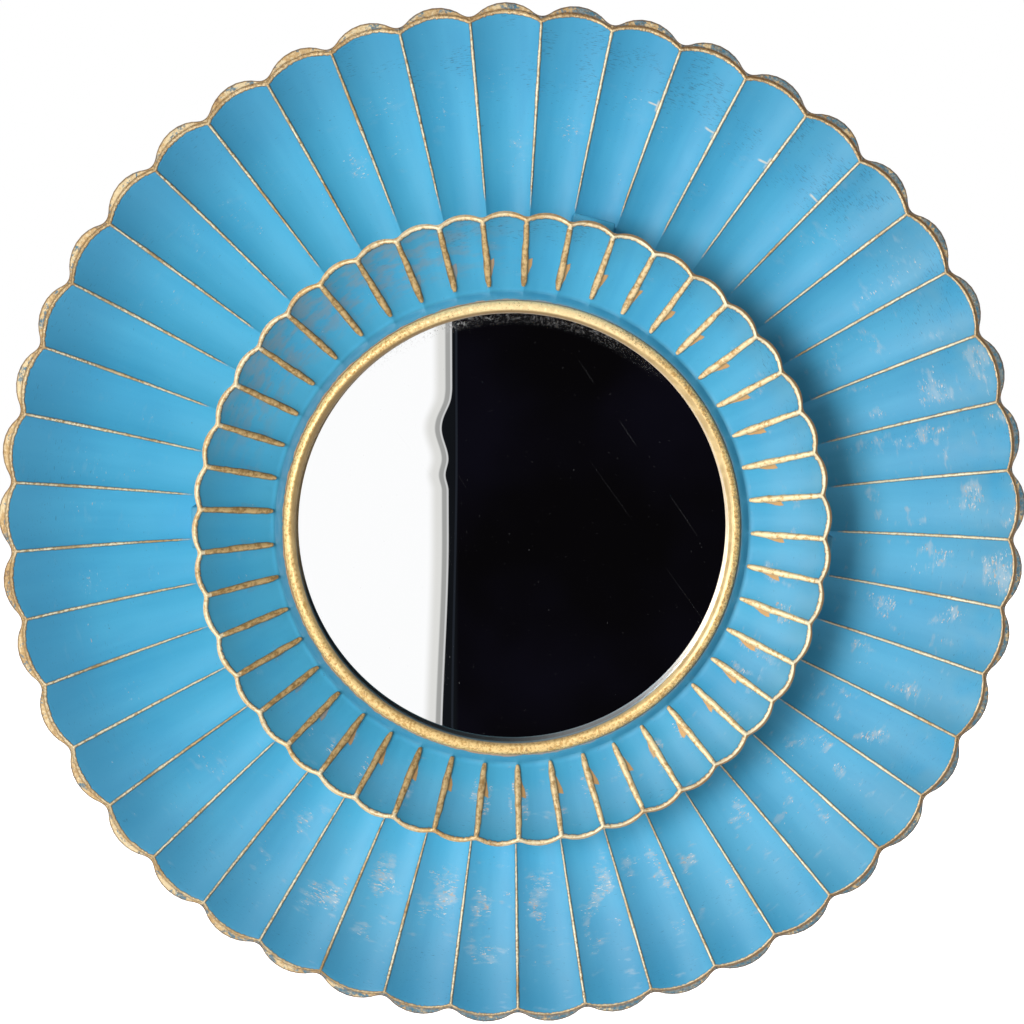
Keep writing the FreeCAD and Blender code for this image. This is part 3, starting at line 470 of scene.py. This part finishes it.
    def dry_off(self):
        """The bare back with its overspray, and the sheen and relief of every coat."""
        behind = self.from_rim.over(6, 9)
        sprayed = (self.noise(60, 3) + (self.radius - 0.098) * 14).over(0.35, 0.75)
        bare = self.mix(self.noise(300, 2).over(0.3, 0.7), (0.62, 0.60, 0.56), (0.70, 0.68, 0.64))
        self.lay(behind, self.mix(sprayed, bare, sky_blue))
        self.set("Base Color", self.colour)
        self.set("Metallic", self.golden * 0.2)
        self.set("Specular IOR Level", 0.32)
        rough = self.noise(210, 2) * 0.14 + 0.44
        self.set("Roughness", rough + self.dry * 0.15 + self.on_lip * 0.12 + behind * 0.2)
        mound = self.depth.over(-0.2, 0.4) * self.kept
        height = self.streaks * 0.10 + self.strokes * 0.06 + self.noise(900, 3) * 0.10 + mound * 2.0
        height = height + self.golden * self.grain * 0.4 + self.on_lip * self.noise(1500, 2) * 0.9
        self.relief(height, 0.14)


dish_paint = FlutePaint("dish_paint", dish_ridge, mean_radius=100, flute_length=46)
dish_paint.spray(strength=1, rim_shade=(0.040, 0.215, 0.370))
along, share = dish_paint.along, dish_paint.share
near_rim = along.over(-0.36, -0.16) * dish_paint.toward(80).over(0.97, 0.8)
upper = dish_paint.toward(348).over(0.7, 0.95) * share.over(0.3, 0.6)
reach = share.over(0.02, 0.2) * share.over(0.99, 0.7) * along.over(-0.95, -0.6) * (near_rim * -0.75 + 1)
reach = reach + upper * along.over(-0.85, -0.7) * along.over(-0.4, -0.55) * 0.6
dish_paint.brush(reach)

# Pale ticks where the brush was knocked against a few ridges at the upper right.
off_track = (dish_paint.radius - 0.1072 + (dish_paint.noise(90, 1) - 0.5) * 0.004).size()
tick = share.over(0.78, 0.84) * off_track.over(0.00034, 0.00004) * 0.65
blot = share.over(0.925, 0.965) * off_track.over(0.0017, 0.0009) * dish_paint.patches.over(0.4, 0.6)
knocked = tick.sum("MAXIMUM", blot * 0.8) * dish_paint.toward(31).over(0.962, 0.974)
dish_paint.lay(knocked, (0.74, 0.64, 0.48))
dish_paint.scuff()

taper = (along + 1) * 0.62 + 0.45 - along.over(-0.35, 0.0) * 0.32
dish_paint.rub_ridges(width=0.47, taper=taper, softness=0.07, start=0.0782, finish=0.0830)
dish_paint.rub_rim(width=0.50, spared=dish_paint.lower_right * 0.17)
dish_paint.paint_lip()
at_rim = dish_paint.from_rim.over(-1.2, -0.3)
top_left = dish_paint.toward(345).over(0.1, 0.8)
# Painted shade: the gold lines darken towards the rim on the left.
left_rim_shade = along.over(-0.6, -0.15) * dish_paint.left * 0.6
# Less of the painted highlight close to the rim, and least of all at the top left.
less_at_rim = at_rim * (top_left * 0.25 + 0.55) * -1 + 1
worn = dish_paint.worn_gold(smear_and_shade=left_rim_shade, smear_and_shade_gold=(0.30, 0.20, 0.075), highlight=less_at_rim)
pits = dish_paint.noise(1700, 2, 0.7).over(0.50, 0.60) * at_rim * (top_left * 0.45 + 0.30)
dish_paint.gild(dish_paint.mix(pits, worn, (0.30, 0.165, 0.06)))
dish_paint.dry_off()

dish_shell = fluted_shell(dish_section, dish_middle)
for vert in dish_shell.verts:
    if 72 * mm < vert.co.xy.length < 123 * mm:
        vert.co.z += uneven(vert.co, (140, 0.05), (420, 0.02)) * mm
stand_up(dish_shell)
dish = piece_from(dish_shell, "fluted_dish", "mirror", [dish_paint.material], 50)
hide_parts("outer_fluted_dish")

# Raised ring. A second, steeper moulding with 45 short flutes, screwed to the dish from behind.
# A rounded bar runs down every ridge, the rim is rolled, and four lugs stand on its outer wall.
# It is painted as the dish is, with more gold on the bars and the rim.
ring_middle, ring_ridge = 3.3, 2.7
ring_crest, ring_notch, ring_notch_round = 75.85, 74.6, 2.5
ring_bend, bend_valley, bend_lip = 73.7, 31, 32.3
ring_rise, ring_lip_fall = math.radians(27.6), math.radians(25.5)
ring_depth, ring_run_per_depth, ring_ridge_round, ring_lip_round = 0.8, 28.7, 0.2, 0.7
shallower, shallow_run, roll_height, roll_reach = 0.35, 4, 0.34, 0.6
cove_end, ring_start, wall_foot, cove_top = 56.8, 57.2, 30.3, 22.9
bar_start, bar_end, bar_round, bar_half_width = (57.9, 23.45), (73.7, 31.95), 0.5, 0.54
lug_size, lug_place, lug_ridges, lug_round = (8, 10.2, 14.8), (73, 0, 17.6), (9, -1, -12, 22), 0.5


def ring_line(radius):
    """Height of the flutes' valleys, which rise straight outwards."""
    return bend_valley + (radius - ring_bend) * math.tan(ring_rise)


def ring_lip(radius):
    """Height of the lip, which falls outwards from the rim."""
    return bend_lip - (radius - ring_bend) * math.tan(ring_lip_fall)


def ring_front(radius, across, from_rim):
    """Height of the flutes, shallow at their inner ends, with a roll where they meet the lip."""
    depth = ring_depth + (radius - cove_end) / ring_run_per_depth
    depth -= shallower * max(0, 1 - (radius - ring_start) / shallow_run) ** 2
    flute = ring_line(radius) + scoop(radius, across, depth, ring_ridge_round)
    roll = roll_height * math.exp(-((from_rim - 0.1) / roll_reach) ** 2)
    return soft_lower(flute, ring_lip(radius), ring_lip_round) + roll


def ring_section(across):
    """Once round the ring's section: flutes, rolled rim, outer wall, foot, hollow back and cove."""
    edge = scalloped(across * pitch / 2, ring_crest, ring_notch, ring_notch_round)
    rim = where_equal(72, 75.5, lambda r: ring_line(r) - ring_lip(r) + scoop(r, across, 1.38, 0.01))
    radii = steps(ring_start, rim - 1.7, 11)
    radii += [rim + d for d in (-1.7, -1.25, -0.9, -0.6, -0.35, -0.1)]
    radii += [rim + (edge - rim) * part for part in (0.2, 0.4, 0.6, 0.78)] + [edge - 0.08]
    front = front_rows(radii, across, rim, edge, lambda r: ring_front(r, across, r - rim))
    top, start = front[-1][1], front[0][1]
    wall = side_rows([(edge - 0.02, top - 0.1), (edge, top - edge_round), (edge, wall_foot),
                      (edge - 0.06, wall_foot - 0.15), (edge - edge_round, wall_foot - edge_round)],
                     top, edge - rim)
    hollow = [(73.4, 28.9), (71.5, 20.2), (69.7, 12.2), (69.7, 8.4), (69.5, 8.2), (67.5, 8.2),
              (67.5, 12.2), (71.2, 27.4), (65, 24.1), (58.8, 20.9), (58.8, 8.2), (56.6, 8.2),
              (56.6, 21.4), (55.3, 21.4)]
    back = [(r, h, far, 3 if h > 11 and r > 68 else out_of_sight, far) for r, h in hollow]
    cove = [(55.3, 22.3), (55.13, 22.6), (55.18, 22.84), (55.5, 22.92), (55.85, cove_top)]
    cove += [(r, cove_top + (start - cove_top) * share)
             for r, share in ((56.2, 0.15), (56.5, 0.4), (cove_end, 0.68), (57.02, 0.9))]
    inner = [(r, h, far if r < cove_end else front[0][2], r - rim, far) for r, h in cove]
    return [*front, *wall, *back, *inner, front[0]]


ring_shell = fluted_shell(ring_section, ring_middle)
for vert in ring_shell.verts:
    if 72.4 * mm < vert.co.xy.length < 75.2 * mm and vert.co.z > 30.6 * mm:
        vert.co.z += uneven(vert.co, (260, 0.07), (700, 0.03)) * mm


def tapered_bar(bar):
    """A ball drawn out along Z into one bar, swollen in the middle, with its crest towards minus X."""
    bmesh.ops.create_uvsphere(bar, u_segments=14, v_segments=30, radius=bar_round * mm)
    crest = bar.verts.layers.float.new("side")
    length = math.dist(bar_start, bar_end) * mm
    for vert in bar.verts:
        vert[crest] = -vert.co.x / (bar_round * mm)
        reach = max(0, 1 - math.acos(within(vert.co.z / (bar_round * mm), -1)) / (math.pi / 2))
        if reach > 0.01:
            swell = math.sin(math.pi * reach ** 0.6)
            # The tip's own point stays on the bar's axis.
            around = vert.co.xy.normalized() if vert.co.xy.length > 1e-7 else vert.co.xy
            vert[crest] = -around.x
            vert.co = (around.x * (bar_round + 0.2 * swell) * mm,
                       around.y * (bar_half_width + 0.28 * swell + 0.06 * reach) * mm, reach * length)


bars = bmesh.new()
tapered_bar(bars)
bar_slope = math.atan2(bar_end[1] - bar_start[1], bar_end[0] - bar_start[0])
turn_shell(bars, 90 - math.degrees(bar_slope), "Y")
bmesh.ops.translate(bars, verts=bars.verts, vec=(bar_start[0] * mm, 0, bar_start[1] * mm))
turn_shell(bars, ring_middle + math.degrees(pitch) / 2)
geometry = bars.verts[:] + bars.edges[:] + bars.faces[:]
bmesh.ops.spin(bars, geom=geometry, cent=(0, 0, 0), axis=(0, 0, 1),
               angle=pitch * (flutes - 1), steps=flutes - 1, use_duplicate=True)
upper_left = Vector((math.sin(math.radians(-25)), math.cos(math.radians(-25))))
for vert in bars.verts:
    out = vert.co.xy.normalized()
    near_end = within((62 * mm - vert.co.xy.length) / (4 * mm))
    shortened = max(0, out @ upper_left - 0.3) * 1.8 + noise.noise(Vector((out.x, out.y, 0)) * 9) * 0.5
    vert.co += Vector((out.x, out.y, 0.55)) * (near_end * shortened * mm)
    vert.co += Vector((-out.y, out.x, 0)) * (uneven(vert.co, (420, 0.16), (1100, 0.10)) * mm)
for face in bars.faces:
    face.material_index = 1

lugs = bmesh.new()
for number in lug_ridges:
    lug = bmesh.ops.create_cube(lugs, size=1)["verts"]
    bmesh.ops.scale(lugs, verts=lug, vec=[size * mm for size in lug_size])
    bmesh.ops.translate(lugs, verts=lug, vec=[place * mm for place in lug_place])
    bmesh.ops.rotate(lugs, verts=lug, cent=(0, 0, 0),
                     matrix=Matrix.Rotation(math.radians(ring_middle) + pitch * number, 3, "Z"))
bmesh.ops.bevel(lugs, geom=lugs.edges[:], offset=lug_round * mm, offset_type="OFFSET", segments=3,
                profile=0.5, affect="EDGES", material=-1)
lugs.verts.layers.float.new("side")

# Bars and lugs get the marks of the ring's shell, at distances where the lugs stay plain blue.
for part, name in ((bars, "bars"), (lugs, "lugs")):
    for mark, distance in (("from_ridge", far), ("from_rim", -5), ("from_edge", far)):
        layer = part.verts.layers.float.new(mark)
        for vert in part.verts:
            vert[layer] = distance
    loose = bpy.data.meshes.new(name)
    part.to_mesh(loose)
    part.free()
    ring_shell.from_mesh(loose)
    bpy.data.meshes.remove(loose)
stand_up(ring_shell)

ring_paint = FlutePaint("ring_paint", ring_ridge, mean_radius=65, flute_length=16)
ring_paint.spray(strength=0.92, rim_shade=(0.040, 0.228, 0.352))
along, radius, wander = ring_paint.along, ring_paint.radius, ring_paint.wander
beside_bar = (ring_paint.share - 0.5).size().over(0.12, 0.30)
ring_paint.brush(beside_bar * along.over(-0.95, -0.75) * along.over(-0.15, -0.4))
ring_paint.scuff()
taper = (along + 1) * 0.1 + 0.9
ring_paint.rub_ridges(width=0.62, taper=taper, softness=0.18, start=0.0590, finish=0.0606)
ring_paint.rub_rim(width=0.92)
ring_paint.paint_lip()
veil = ring_paint.toward(322).over(0.72, 0.98) * along.over(-0.98, -0.5)
ring_paint.lay(veil * ring_paint.smears.over(0.40, 0.62) * 0.30, (0.30, 0.20, 0.11))
# Painted shade in the cove beside the bead, deepest at the left and right.
beside = ring_paint.x.size().sum("DIVIDE", radius).over(0.3, 0.9)
ring_paint.lay(radius.over(0.0580, 0.0569) * (beside * 0.30 + 0.38), (0.010, 0.095, 0.160))

# Wet gold ran from the bars into the flutes beside them, and a thin fringe of it lies on the cove.
lower_side = ring_paint.toward(205).over(0.45, 0.65) * -2 + 1
wedge = along.over(-0.95, -0.62) * 1.5 + 0.35 - ring_paint.from_ridge + (wander - 0.5) * 1.2
run = (wedge.over(-0.05, 0.05) * (ring_paint.mark("side") * lower_side).over(0.0, 0.1)
       * (along + wander * 0.05).over(-0.55, -0.57) * along.over(-0.95, -0.88)
       * (ring_paint.toward(288).over(0.25, 0.75) * -0.9 + 1))
fringe = (radius + (wander - 0.5) * 0.0012).over(0.0556, 0.0553) * (ring_paint.right_side * -0.6 + 0.8)
run = run.sum("MAXIMUM", fringe)
ring_paint.golden = ring_paint.golden.sum("MAXIMUM", run)
ring_paint.gild(ring_paint.worn_gold(smear_and_shade=run, smear_and_shade_gold=(0.57, 0.32, 0.11), highlight=0.7))
ring_paint.dry_off()

bar_finish = Finish("bar_gold")
bar_finish.measure()
bar_tone = bar_finish.noise(900, 3, 0.65)
bar_side = bar_finish.mark("side")
# Painted light and shade: the bars are paler gold towards the right, where the light falls, and browner
# towards the left.
lit_bars = bar_finish.toward(100).over(-0.35, 0.85)
shaded_bar_gold = bar_finish.mix(bar_tone.over(0.35, 0.62), (0.29, 0.170, 0.055), (0.55, 0.36, 0.140))
lit_bar_gold = bar_finish.mix(bar_tone.over(0.32, 0.56), (0.54, 0.32, 0.115), (0.84, 0.65, 0.37))
bar_gold = bar_finish.mix(lit_bars, shaded_bar_gold, lit_bar_gold)
# A painted highlight along each bar's crest, stronger on the lit side, and painted shade on its flanks,
# lighter there.
crest_gold = bar_side.over(0.7, 0.95) * bar_tone.over(0.40, 0.55) * (lit_bars * 0.4 + 0.15)
bar_gold = bar_finish.mix(crest_gold, bar_gold, (0.88, 0.70, 0.40))
flanks = bar_side.over(0.75, 0.15) * (lit_bars * -0.35 + 0.75)
bar_finish.set("Base Color", bar_finish.mix(flanks, bar_gold, (0.22, 0.125, 0.045)))
bar_finish.set("Metallic", 0.25)
bar_finish.set("Roughness", bar_tone * 0.25 + 0.3)
bar_finish.relief(bar_tone, 0.12)
ring = piece_from(
    ring_shell, "fluted_ring", "mirror", [ring_paint.material, bar_finish.material], 50)
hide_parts("inner_fluted_ring")

# Bead. A separate half-round ring round the glass, moulded, painted gold, and stippled on its
# outer half while the paint was wet. Its flange is caught behind the raised ring.
bead_inside, bead_round, bead_foot = 52.1, 1.5, 22.9
bead_middle = bead_inside + bead_round
bead_outside = bead_middle + bead_round
flange_outside, flange_back, flange_front = 56.3, 20.2, 21.3
bead_profile = [(bead_inside, flange_back), (bead_inside, bead_foot)]
bead_profile += [(bead_middle - bead_round * math.cos(t), bead_foot + bead_round * math.sin(t))
                 for t in steps(0.13, math.pi, 22)]
bead_profile += [(bead_outside, bead_foot), (bead_outside, flange_front),
                 (flange_outside, flange_front), (flange_outside, flange_back)]


def turned(profile, steps_round):
    """Turn a profile of radius and height once round, closed unless it starts on the axis."""
    shell = bmesh.new()
    verts = [shell.verts.new((r * mm, 0, h * mm)) for r, h in profile]
    followers = verts[1:] if profile[0][0] == 0 else verts[1:] + verts[:1]
    edges = [shell.edges.new(pair) for pair in zip(verts, followers)]
    bmesh.ops.spin(shell, geom=verts + edges, cent=(0, 0, 0), axis=(0, 0, 1),
                   angle=2 * math.pi, steps=steps_round, use_merge=True)
    bmesh.ops.remove_doubles(shell, verts=shell.verts, dist=0.002 * mm)
    return shell


bead_shell = turned(bead_profile, 540)
for vert in bead_shell.verts:
    if vert.co.xy.length > 53.2 * mm and vert.co.z > 23.0 * mm:
        vert.co.z += uneven(vert.co, (900, 0.06), (2100, 0.03)) * mm
stand_up(bead_shell)
bead_finish = Finish("bead_gold", Metallic=0.15)
bead_finish.measure()
radius = bead_finish.radius
stipple = bead_finish.noise(1500, 2, 0.6)
tone = bead_finish.noise(260, 3, 0.6)
upright = bead_finish.z.size().sum("DIVIDE", radius).over(0.55, 0.95)
lower_left = bead_finish.toward(205).over(0.1, 0.8)
outer_half = (radius + upright * 0.0005 + lower_left * 0.0007).over(0.0531, 0.0537)
upper_side = bead_finish.toward(335).over(0.1, 0.9)
smooth_gold = bead_finish.mix(tone.over(0.35, 0.65), (0.48, 0.33, 0.14), (0.66, 0.48, 0.22))
# Painted shade on the smooth inner half at the upper left, which faces away from the light.
smooth_gold = bead_finish.mix(upper_side * 0.95, smooth_gold, (0.24, 0.15, 0.055))
very_top = bead_finish.toward(8).over(0.75, 1.0)
stippled = bead_finish.mix(stipple.over(0.36, 0.56), (0.58, 0.33, 0.095), (0.88, 0.62, 0.26))
# A painted highlight on the stipple at the very top.
stippled = bead_finish.mix(very_top * 0.7, stippled, (0.98, 0.78, 0.42))
# Painted shade: more brown dots on the outer half at the right.
shaded_side = bead_finish.toward(95).over(-0.3, 0.7) * radius.over(0.0534, 0.0542)
dots = bead_finish.noise(1900, 2, 0.7) * 0.75 + bead_finish.noise(150, 2) * 0.25 + shaded_side * 0.10
stippled = bead_finish.mix(dots.over(0.61, 0.66) * 0.7, stippled, (0.30, 0.18, 0.08))
bead_colour = bead_finish.mix(outer_half, smooth_gold, stippled)
# Painted shade: the inner half turns dark brown at the bottom.
bottom = bead_finish.toward(190).over(0.5, 0.95) * radius.over(0.0530, 0.0524)
bead_colour = bead_finish.mix(bottom * 0.5, bead_colour, (0.13, 0.085, 0.04))
# The inner wall at the lower left is dark teal towards the front and nearly black by the glass: partly the
# blue body colour, partly painted shade.
inner_wall = radius.over(0.0523, 0.0521) * bead_finish.toward(195).over(0.1, 0.6)
wall_blue, wall_black = (0.050, 0.13, 0.165), (0.006, 0.011, 0.014)
wall_colour = bead_finish.mix(bead_finish.y.over(-0.0224, -0.0216), wall_blue, wall_black)
bead_finish.set("Base Color", bead_finish.mix(inner_wall, bead_colour, wall_colour))
bead_finish.set("Roughness", stipple * 0.2 + 0.24)
bead_finish.relief(stipple * outer_half * 0.8 + tone * 0.1, 0.2)
bead = piece_from(bead_shell, "half_round_bead", "mirror", [bead_finish.material])
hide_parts("glazing_bead")

# Glass. A 3 mm float-glass disc, silvered and painted on its back, with its edges ground. The
# front carries wiping marks, hairline scratches and dust, most of it close to the bead.


def refinish(node, finish):
    """Give a node that keeps its own shape its finish."""
    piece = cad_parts[node]
    piece.data.materials.clear()
    piece.data.materials.append(finish.material)


glass = Finish("silvered_glass", Metallic=1.0)
glass.measure()
dust = glass.noise(2600, 1).over(0.80, 0.84)
scratch_line = glass.noise(22, 1, 0.5, glass.vector(glass.x + glass.z * 0.7, glass.z * 0.06, 0.3))
scratches = (scratch_line - 0.5).size().over(0.0016, 0.0004) * glass.noise(60, 2).over(0.55, 0.62)
top_edge = glass.radius.over(0.0490, 0.0516) * glass.z.over(0.034, 0.050)
rim_dirt = top_edge * (glass.noise(1800, 3, 0.7).over(0.50, 0.66) * 0.42 + 0.02)
marks = (dust * 0.20 + scratches * 0.015 + rim_dirt * 0.45).sum("MINIMUM", 1)
glass.set("Base Color", glass.mix(marks, (0.97, 0.975, 0.98), (0.30, 0.30, 0.31)))
glass.set("Roughness", glass.noise(30, 3).over(0.4, 0.8) * 0.02 + marks * 0.5)
glass.set("Metallic", (marks * 0.8).sum("SUBTRACT", 1) * -1)
refinish("mirror_glass", glass)

# Packing. A card disc keeps the foam off the silvering, and a soft foam pad presses the glass
# forward against the bead. Both are shut in between the glass and the board.
card = Finish("kraft_card", Roughness=0.85)
card.set("Base Color", card.mix(
    card.noise(500, 4, 0.7).over(0.3, 0.7), (0.36, 0.25, 0.14), (0.52, 0.39, 0.24)))
card.relief(card.noise(1200, 3), 0.05)
refinish("card_liner", card)

foam_back, foam_front, foam_flat = 5.6, 16.6, 54.2
rivet_heights, hollow_depth = (52.3, 40), 1.1
foam_profile = [(r, foam_back) for r in steps(0, foam_flat, 25)]
foam_profile += [(foam_flat, foam_back), (55.3, 6.2), (55.8, 7.6), (55.5, 11.1), (55.8, 14.6), (55.3, 16.0)]
foam_profile += [(r, foam_front) for r in [*steps(foam_flat, 0, 25), 0]]
foam_shell = turned(foam_profile, 96)
for vert in foam_shell.verts:
    if vert.co.z < 6 * mm:
        for rivet in rivet_heights:
            away = math.hypot(vert.co.x, vert.co.y - rivet * mm) / mm
            vert.co.z = max(vert.co.z, (foam_back + hollow_depth * within(1.9 - away / 3)) * mm)
stand_up(foam_shell)
foam = Finish("grey_foam", Roughness=0.95)
cells = foam.out("TexVoronoi", {"Vector": foam.spot, "Scale": 1400})
foam.set("Base Color", foam.mix(cells.over(0.1, 0.6), (0.45, 0.45, 0.44), (0.78, 0.78, 0.76)))
foam.relief(cells, 0.4)
foam_pad = piece_from(foam_shell, "foam_disc", "mirror", [foam.material])
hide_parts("foam_pad")

# Backing board. A brown hardboard disc let into the foot of the dish, held by four pan-head
# screws, with two rivet holes for the hanger.
board = Finish("brown_hardboard")
fibres = board.noise(420, 5, 0.72, distortion=0.8)
board_tone = fibres * 0.7 + board.noise(28, 2) * 0.3
board.set("Base Color", board.mix(
    board_tone.over(0.36, 0.64), (0.145, 0.075, 0.034), (0.30, 0.175, 0.085)))
board.set("Roughness", fibres * 0.25 + 0.5)
board.relief(fibres, 0.08)
refinish("backing_board", board)

# Fixings. Countersunk screws hold the ring to the dish and pan-head screws hold the board.
# All are bright zinc plated steel with a cross recess.
zinc = Finish("bright_zinc", Metallic=1.0)
zinc_wear = zinc.noise(700, 3, 0.6)
zinc.set("Base Color", zinc.mix(zinc_wear.over(0.35, 0.7), (0.52, 0.52, 0.50), (0.72, 0.72, 0.70)))
zinc.set("Roughness", zinc_wear * 0.25 + 0.22)
zinc.relief(zinc.noise(1800, 2), 0.03)
refinish("ring_screws", zinc)
refinish("board_screws", zinc)

# Wall bumpers. Four dots of short dark felt, punched from sheet and stuck to the back of the
# foot, so that the resin doesn't scratch the wall.
bumper_circle = 75.1
felt_profile = [(0, 0.12), (1.4, 0.04), (2.3, 0.0), (2.75, 0.14), (2.9, 0.45), (2.88, 0.9),
                (2.8, 1.2), (0, 1.2)]
felt_shell = turned(felt_profile, 40)
bmesh.ops.translate(felt_shell, verts=felt_shell.verts, vec=(bumper_circle * mm, 0, 0))
turn_shell(felt_shell, 45)
bmesh.ops.spin(felt_shell, geom=felt_shell.verts[:] + felt_shell.edges[:] + felt_shell.faces[:],
               cent=(0, 0, 0), axis=(0, 0, 1), angle=math.pi * 1.5, steps=3, use_duplicate=True)
stand_up(felt_shell)
felt = Finish("dark_felt", Roughness=0.97)
hairs = felt.noise(2600, 4, 0.75, distortion=1.2)
felt.set("Base Color", felt.mix(hairs.over(0.35, 0.7), (0.022, 0.022, 0.024), (0.085, 0.085, 0.09)))
felt.set("Sheen Weight", 0.4)
felt.relief(hairs, 0.15)
bumpers = piece_from(felt_shell, "felt_dots", "mirror", [felt.material])
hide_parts("wall_bumpers")

# Hanger. A steel strap folded double round a wire ring and riveted through the board. The ring
# swings up to go over a wall hook, and hangs down on its strap when it isn't in use.
refinish("hanger_strap", zinc)
refinish("hanger_ring", zinc)
brass = Finish("dull_brass", Metallic=1.0)
tarnish = brass.noise(900, 3, 0.6)
brass.set("Base Color", brass.mix(tarnish.over(0.35, 0.7), (0.42, 0.28, 0.11), (0.68, 0.49, 0.22)))
brass.set("Roughness", tarnish * 0.3 + 0.25)
refinish("hanger_rivets", brass)

# Stage. A pale floor well below the mirror, a white world, and a dark cloth behind the camera
# that only the reflections show; the cloth glows, with painted shade and a painted highlight on
# its hem. A large soft lamp stands to the left of the camera, and a smaller one lights the back.


def stage_square(name, size, tilt, place):
    """A flat square of the stage, tilted about X and then moved to its place."""
    shell = bmesh.new()
    bmesh.ops.create_grid(shell, x_segments=1, y_segments=1, size=size)
    turn_shell(shell, tilt, "X")
    bmesh.ops.translate(shell, verts=shell.verts, vec=place)
    mesh = bpy.data.meshes.new(name)
    shell.to_mesh(mesh)
    shell.free()
    square = bpy.data.objects.new(name, mesh)
    bpy.context.scene.collection.objects.link(square)
    return square


floor = stage_square("floor", 4, 0, (0, 0, -0.5))
floor_paper = Finish("floor_paper", Roughness=0.9)
floor_paper.set("Base Color", (0.90, 0.90, 0.90, 1))
seen_by_camera = floor_paper.out("LightPath", key="Is Camera Ray")
lift = seen_by_camera.sum("MAXIMUM", floor_paper.out("LightPath", key="Is Glossy Ray"))
floor_paper.set("Emission Color", (1, 1, 1, 1))
floor_paper.set("Emission Strength", lift * 0.8)
floor.data.materials.append(floor_paper.material)

cloth = stage_square("dark_cloth", 0.6, 90, (0.4, -1.0, -0.1))
cloth.visible_camera = False
cloth.visible_diffuse = False
cloth.visible_shadow = False
cloth.visible_transmission = False
black = Finish("black_cloth", Roughness=1.0)
black.set("Base Color", (0, 0, 0, 1))
black.set("Specular IOR Level", 0)
x, z = [black.out("SeparateXYZ", {0: black.spot}, key=axis) for axis in "XZ"]
hem = (x + (z + 0.041).size().over(0.023, 0) * 0.0050 + (z + 0.076).size().over(0.012, 0) * 0.0022
       + z.over(-0.12, -0.30) * 0.006 - z.over(-0.035, -0.01) * 0.003)
# The cloth's colours all glow: the grey of the folded edge and the darker fold are painted shade, and the
# pale line is a painted highlight.
white, folded_edge, shaded_fold = (1, 1, 1), (0.74, 0.735, 0.71), (0.36, 0.36, 0.35)
cloth_colour = black.mix(hem.over(-0.0640, -0.0560), white, folded_edge)
cloth_colour = black.mix(hem.over(-0.0535, -0.0520), cloth_colour, shaded_fold)
cloth_colour = black.mix(hem.over(-0.0495, -0.0488), cloth_colour, (0.62, 0.62, 0.62))
cloth_colour = black.mix(hem.over(-0.0481, -0.0475), cloth_colour, (0.006, 0.007, 0.009))
weave = black.mix(black.noise(6, 3).over(0.4, 0.7), (0.0022, 0.0019, 0.0024), (0.0038, 0.0034, 0.0066))
cloth_colour = black.mix(x.over(-0.044, -0.040), cloth_colour, weave)
seam = (x + z.over(-0.05, -0.28) * 0.004 + 0.0416).size().over(0.0011, 0.0005)
cloth_colour = black.mix(seam * 0.8, cloth_colour, (0.018, 0.022, 0.030))
black.set("Emission Color", cloth_colour)
black.set("Emission Strength", 1.0)
cloth.data.materials.append(black.material)

world = bpy.data.worlds.new("studio")
bpy.context.scene.world = world
world.use_nodes = True
tree = world.node_tree
background = tree.nodes["Background"]
background.inputs["Color"].default_value = (1, 1, 1, 1)
path = tree.nodes.new("ShaderNodeLightPath")
shine = tree.nodes.new("ShaderNodeMath")
shine.operation = "MULTIPLY"
shine.inputs[1].default_value = 0.3
tree.links.new(path.outputs["Is Glossy Ray"], shine.inputs[0])
seen = tree.nodes.new("ShaderNodeMath")
seen.operation = "MAXIMUM"
tree.links.new(path.outputs["Is Camera Ray"], seen.inputs[0])
tree.links.new(shine.outputs[0], seen.inputs[1])
level = tree.nodes.new("ShaderNodeMapRange")
tree.links.new(seen.outputs[0], level.inputs["Value"])
level.inputs["To Min"].default_value = 0.22
level.inputs["To Max"].default_value = 1.0
tree.links.new(level.outputs[0], background.inputs["Strength"])


def soft_lamp(name, place, size, watts):
    """A rectangle of light, turned to the middle of the mirror."""
    lamp = bpy.data.lights.new(name, "AREA")
    lamp.shape = "RECTANGLE"
    lamp.size, lamp.size_y = size
    lamp.energy = watts
    holder = bpy.data.objects.new(name, lamp)
    holder.location = place
    holder.rotation_euler = (-Vector(place)).to_track_quat("-Z", "Y").to_euler()
    bpy.context.scene.collection.objects.link(holder)


soft_lamp("key", (-1.90, -3.25, 0.48), (1.25, 1.60), 130)
soft_lamp("rear", (1.60, 2.60, 1.70), (1.20, 1.20), 60)

# Camera. It stands a little above the mirror's axis, half a metre in front of it, and looks
# down on it by a few degrees. The focal length is worked out from the photo's circles.
camera_tilt, camera_distance = math.radians(6.3), 0.469
sensor_width, focal_pixels, photo_pixels = 36, 1930, 1024
aim = Vector((0, -0.0188, 0.0040))
camera_data = bpy.data.cameras.new("camera")
camera_data.lens = sensor_width * focal_pixels / photo_pixels
camera_data.clip_start = 0.01
camera = bpy.data.objects.new("camera", camera_data)
camera.location = aim + camera_distance * Vector((0, -math.cos(camera_tilt), math.sin(camera_tilt)))
camera.rotation_euler = (aim - camera.location).to_track_quat("-Z", "Y").to_euler()
bpy.context.scene.collection.objects.link(camera)
bpy.context.scene.camera = camera

bpy.context.scene.view_settings.view_transform = "Standard"
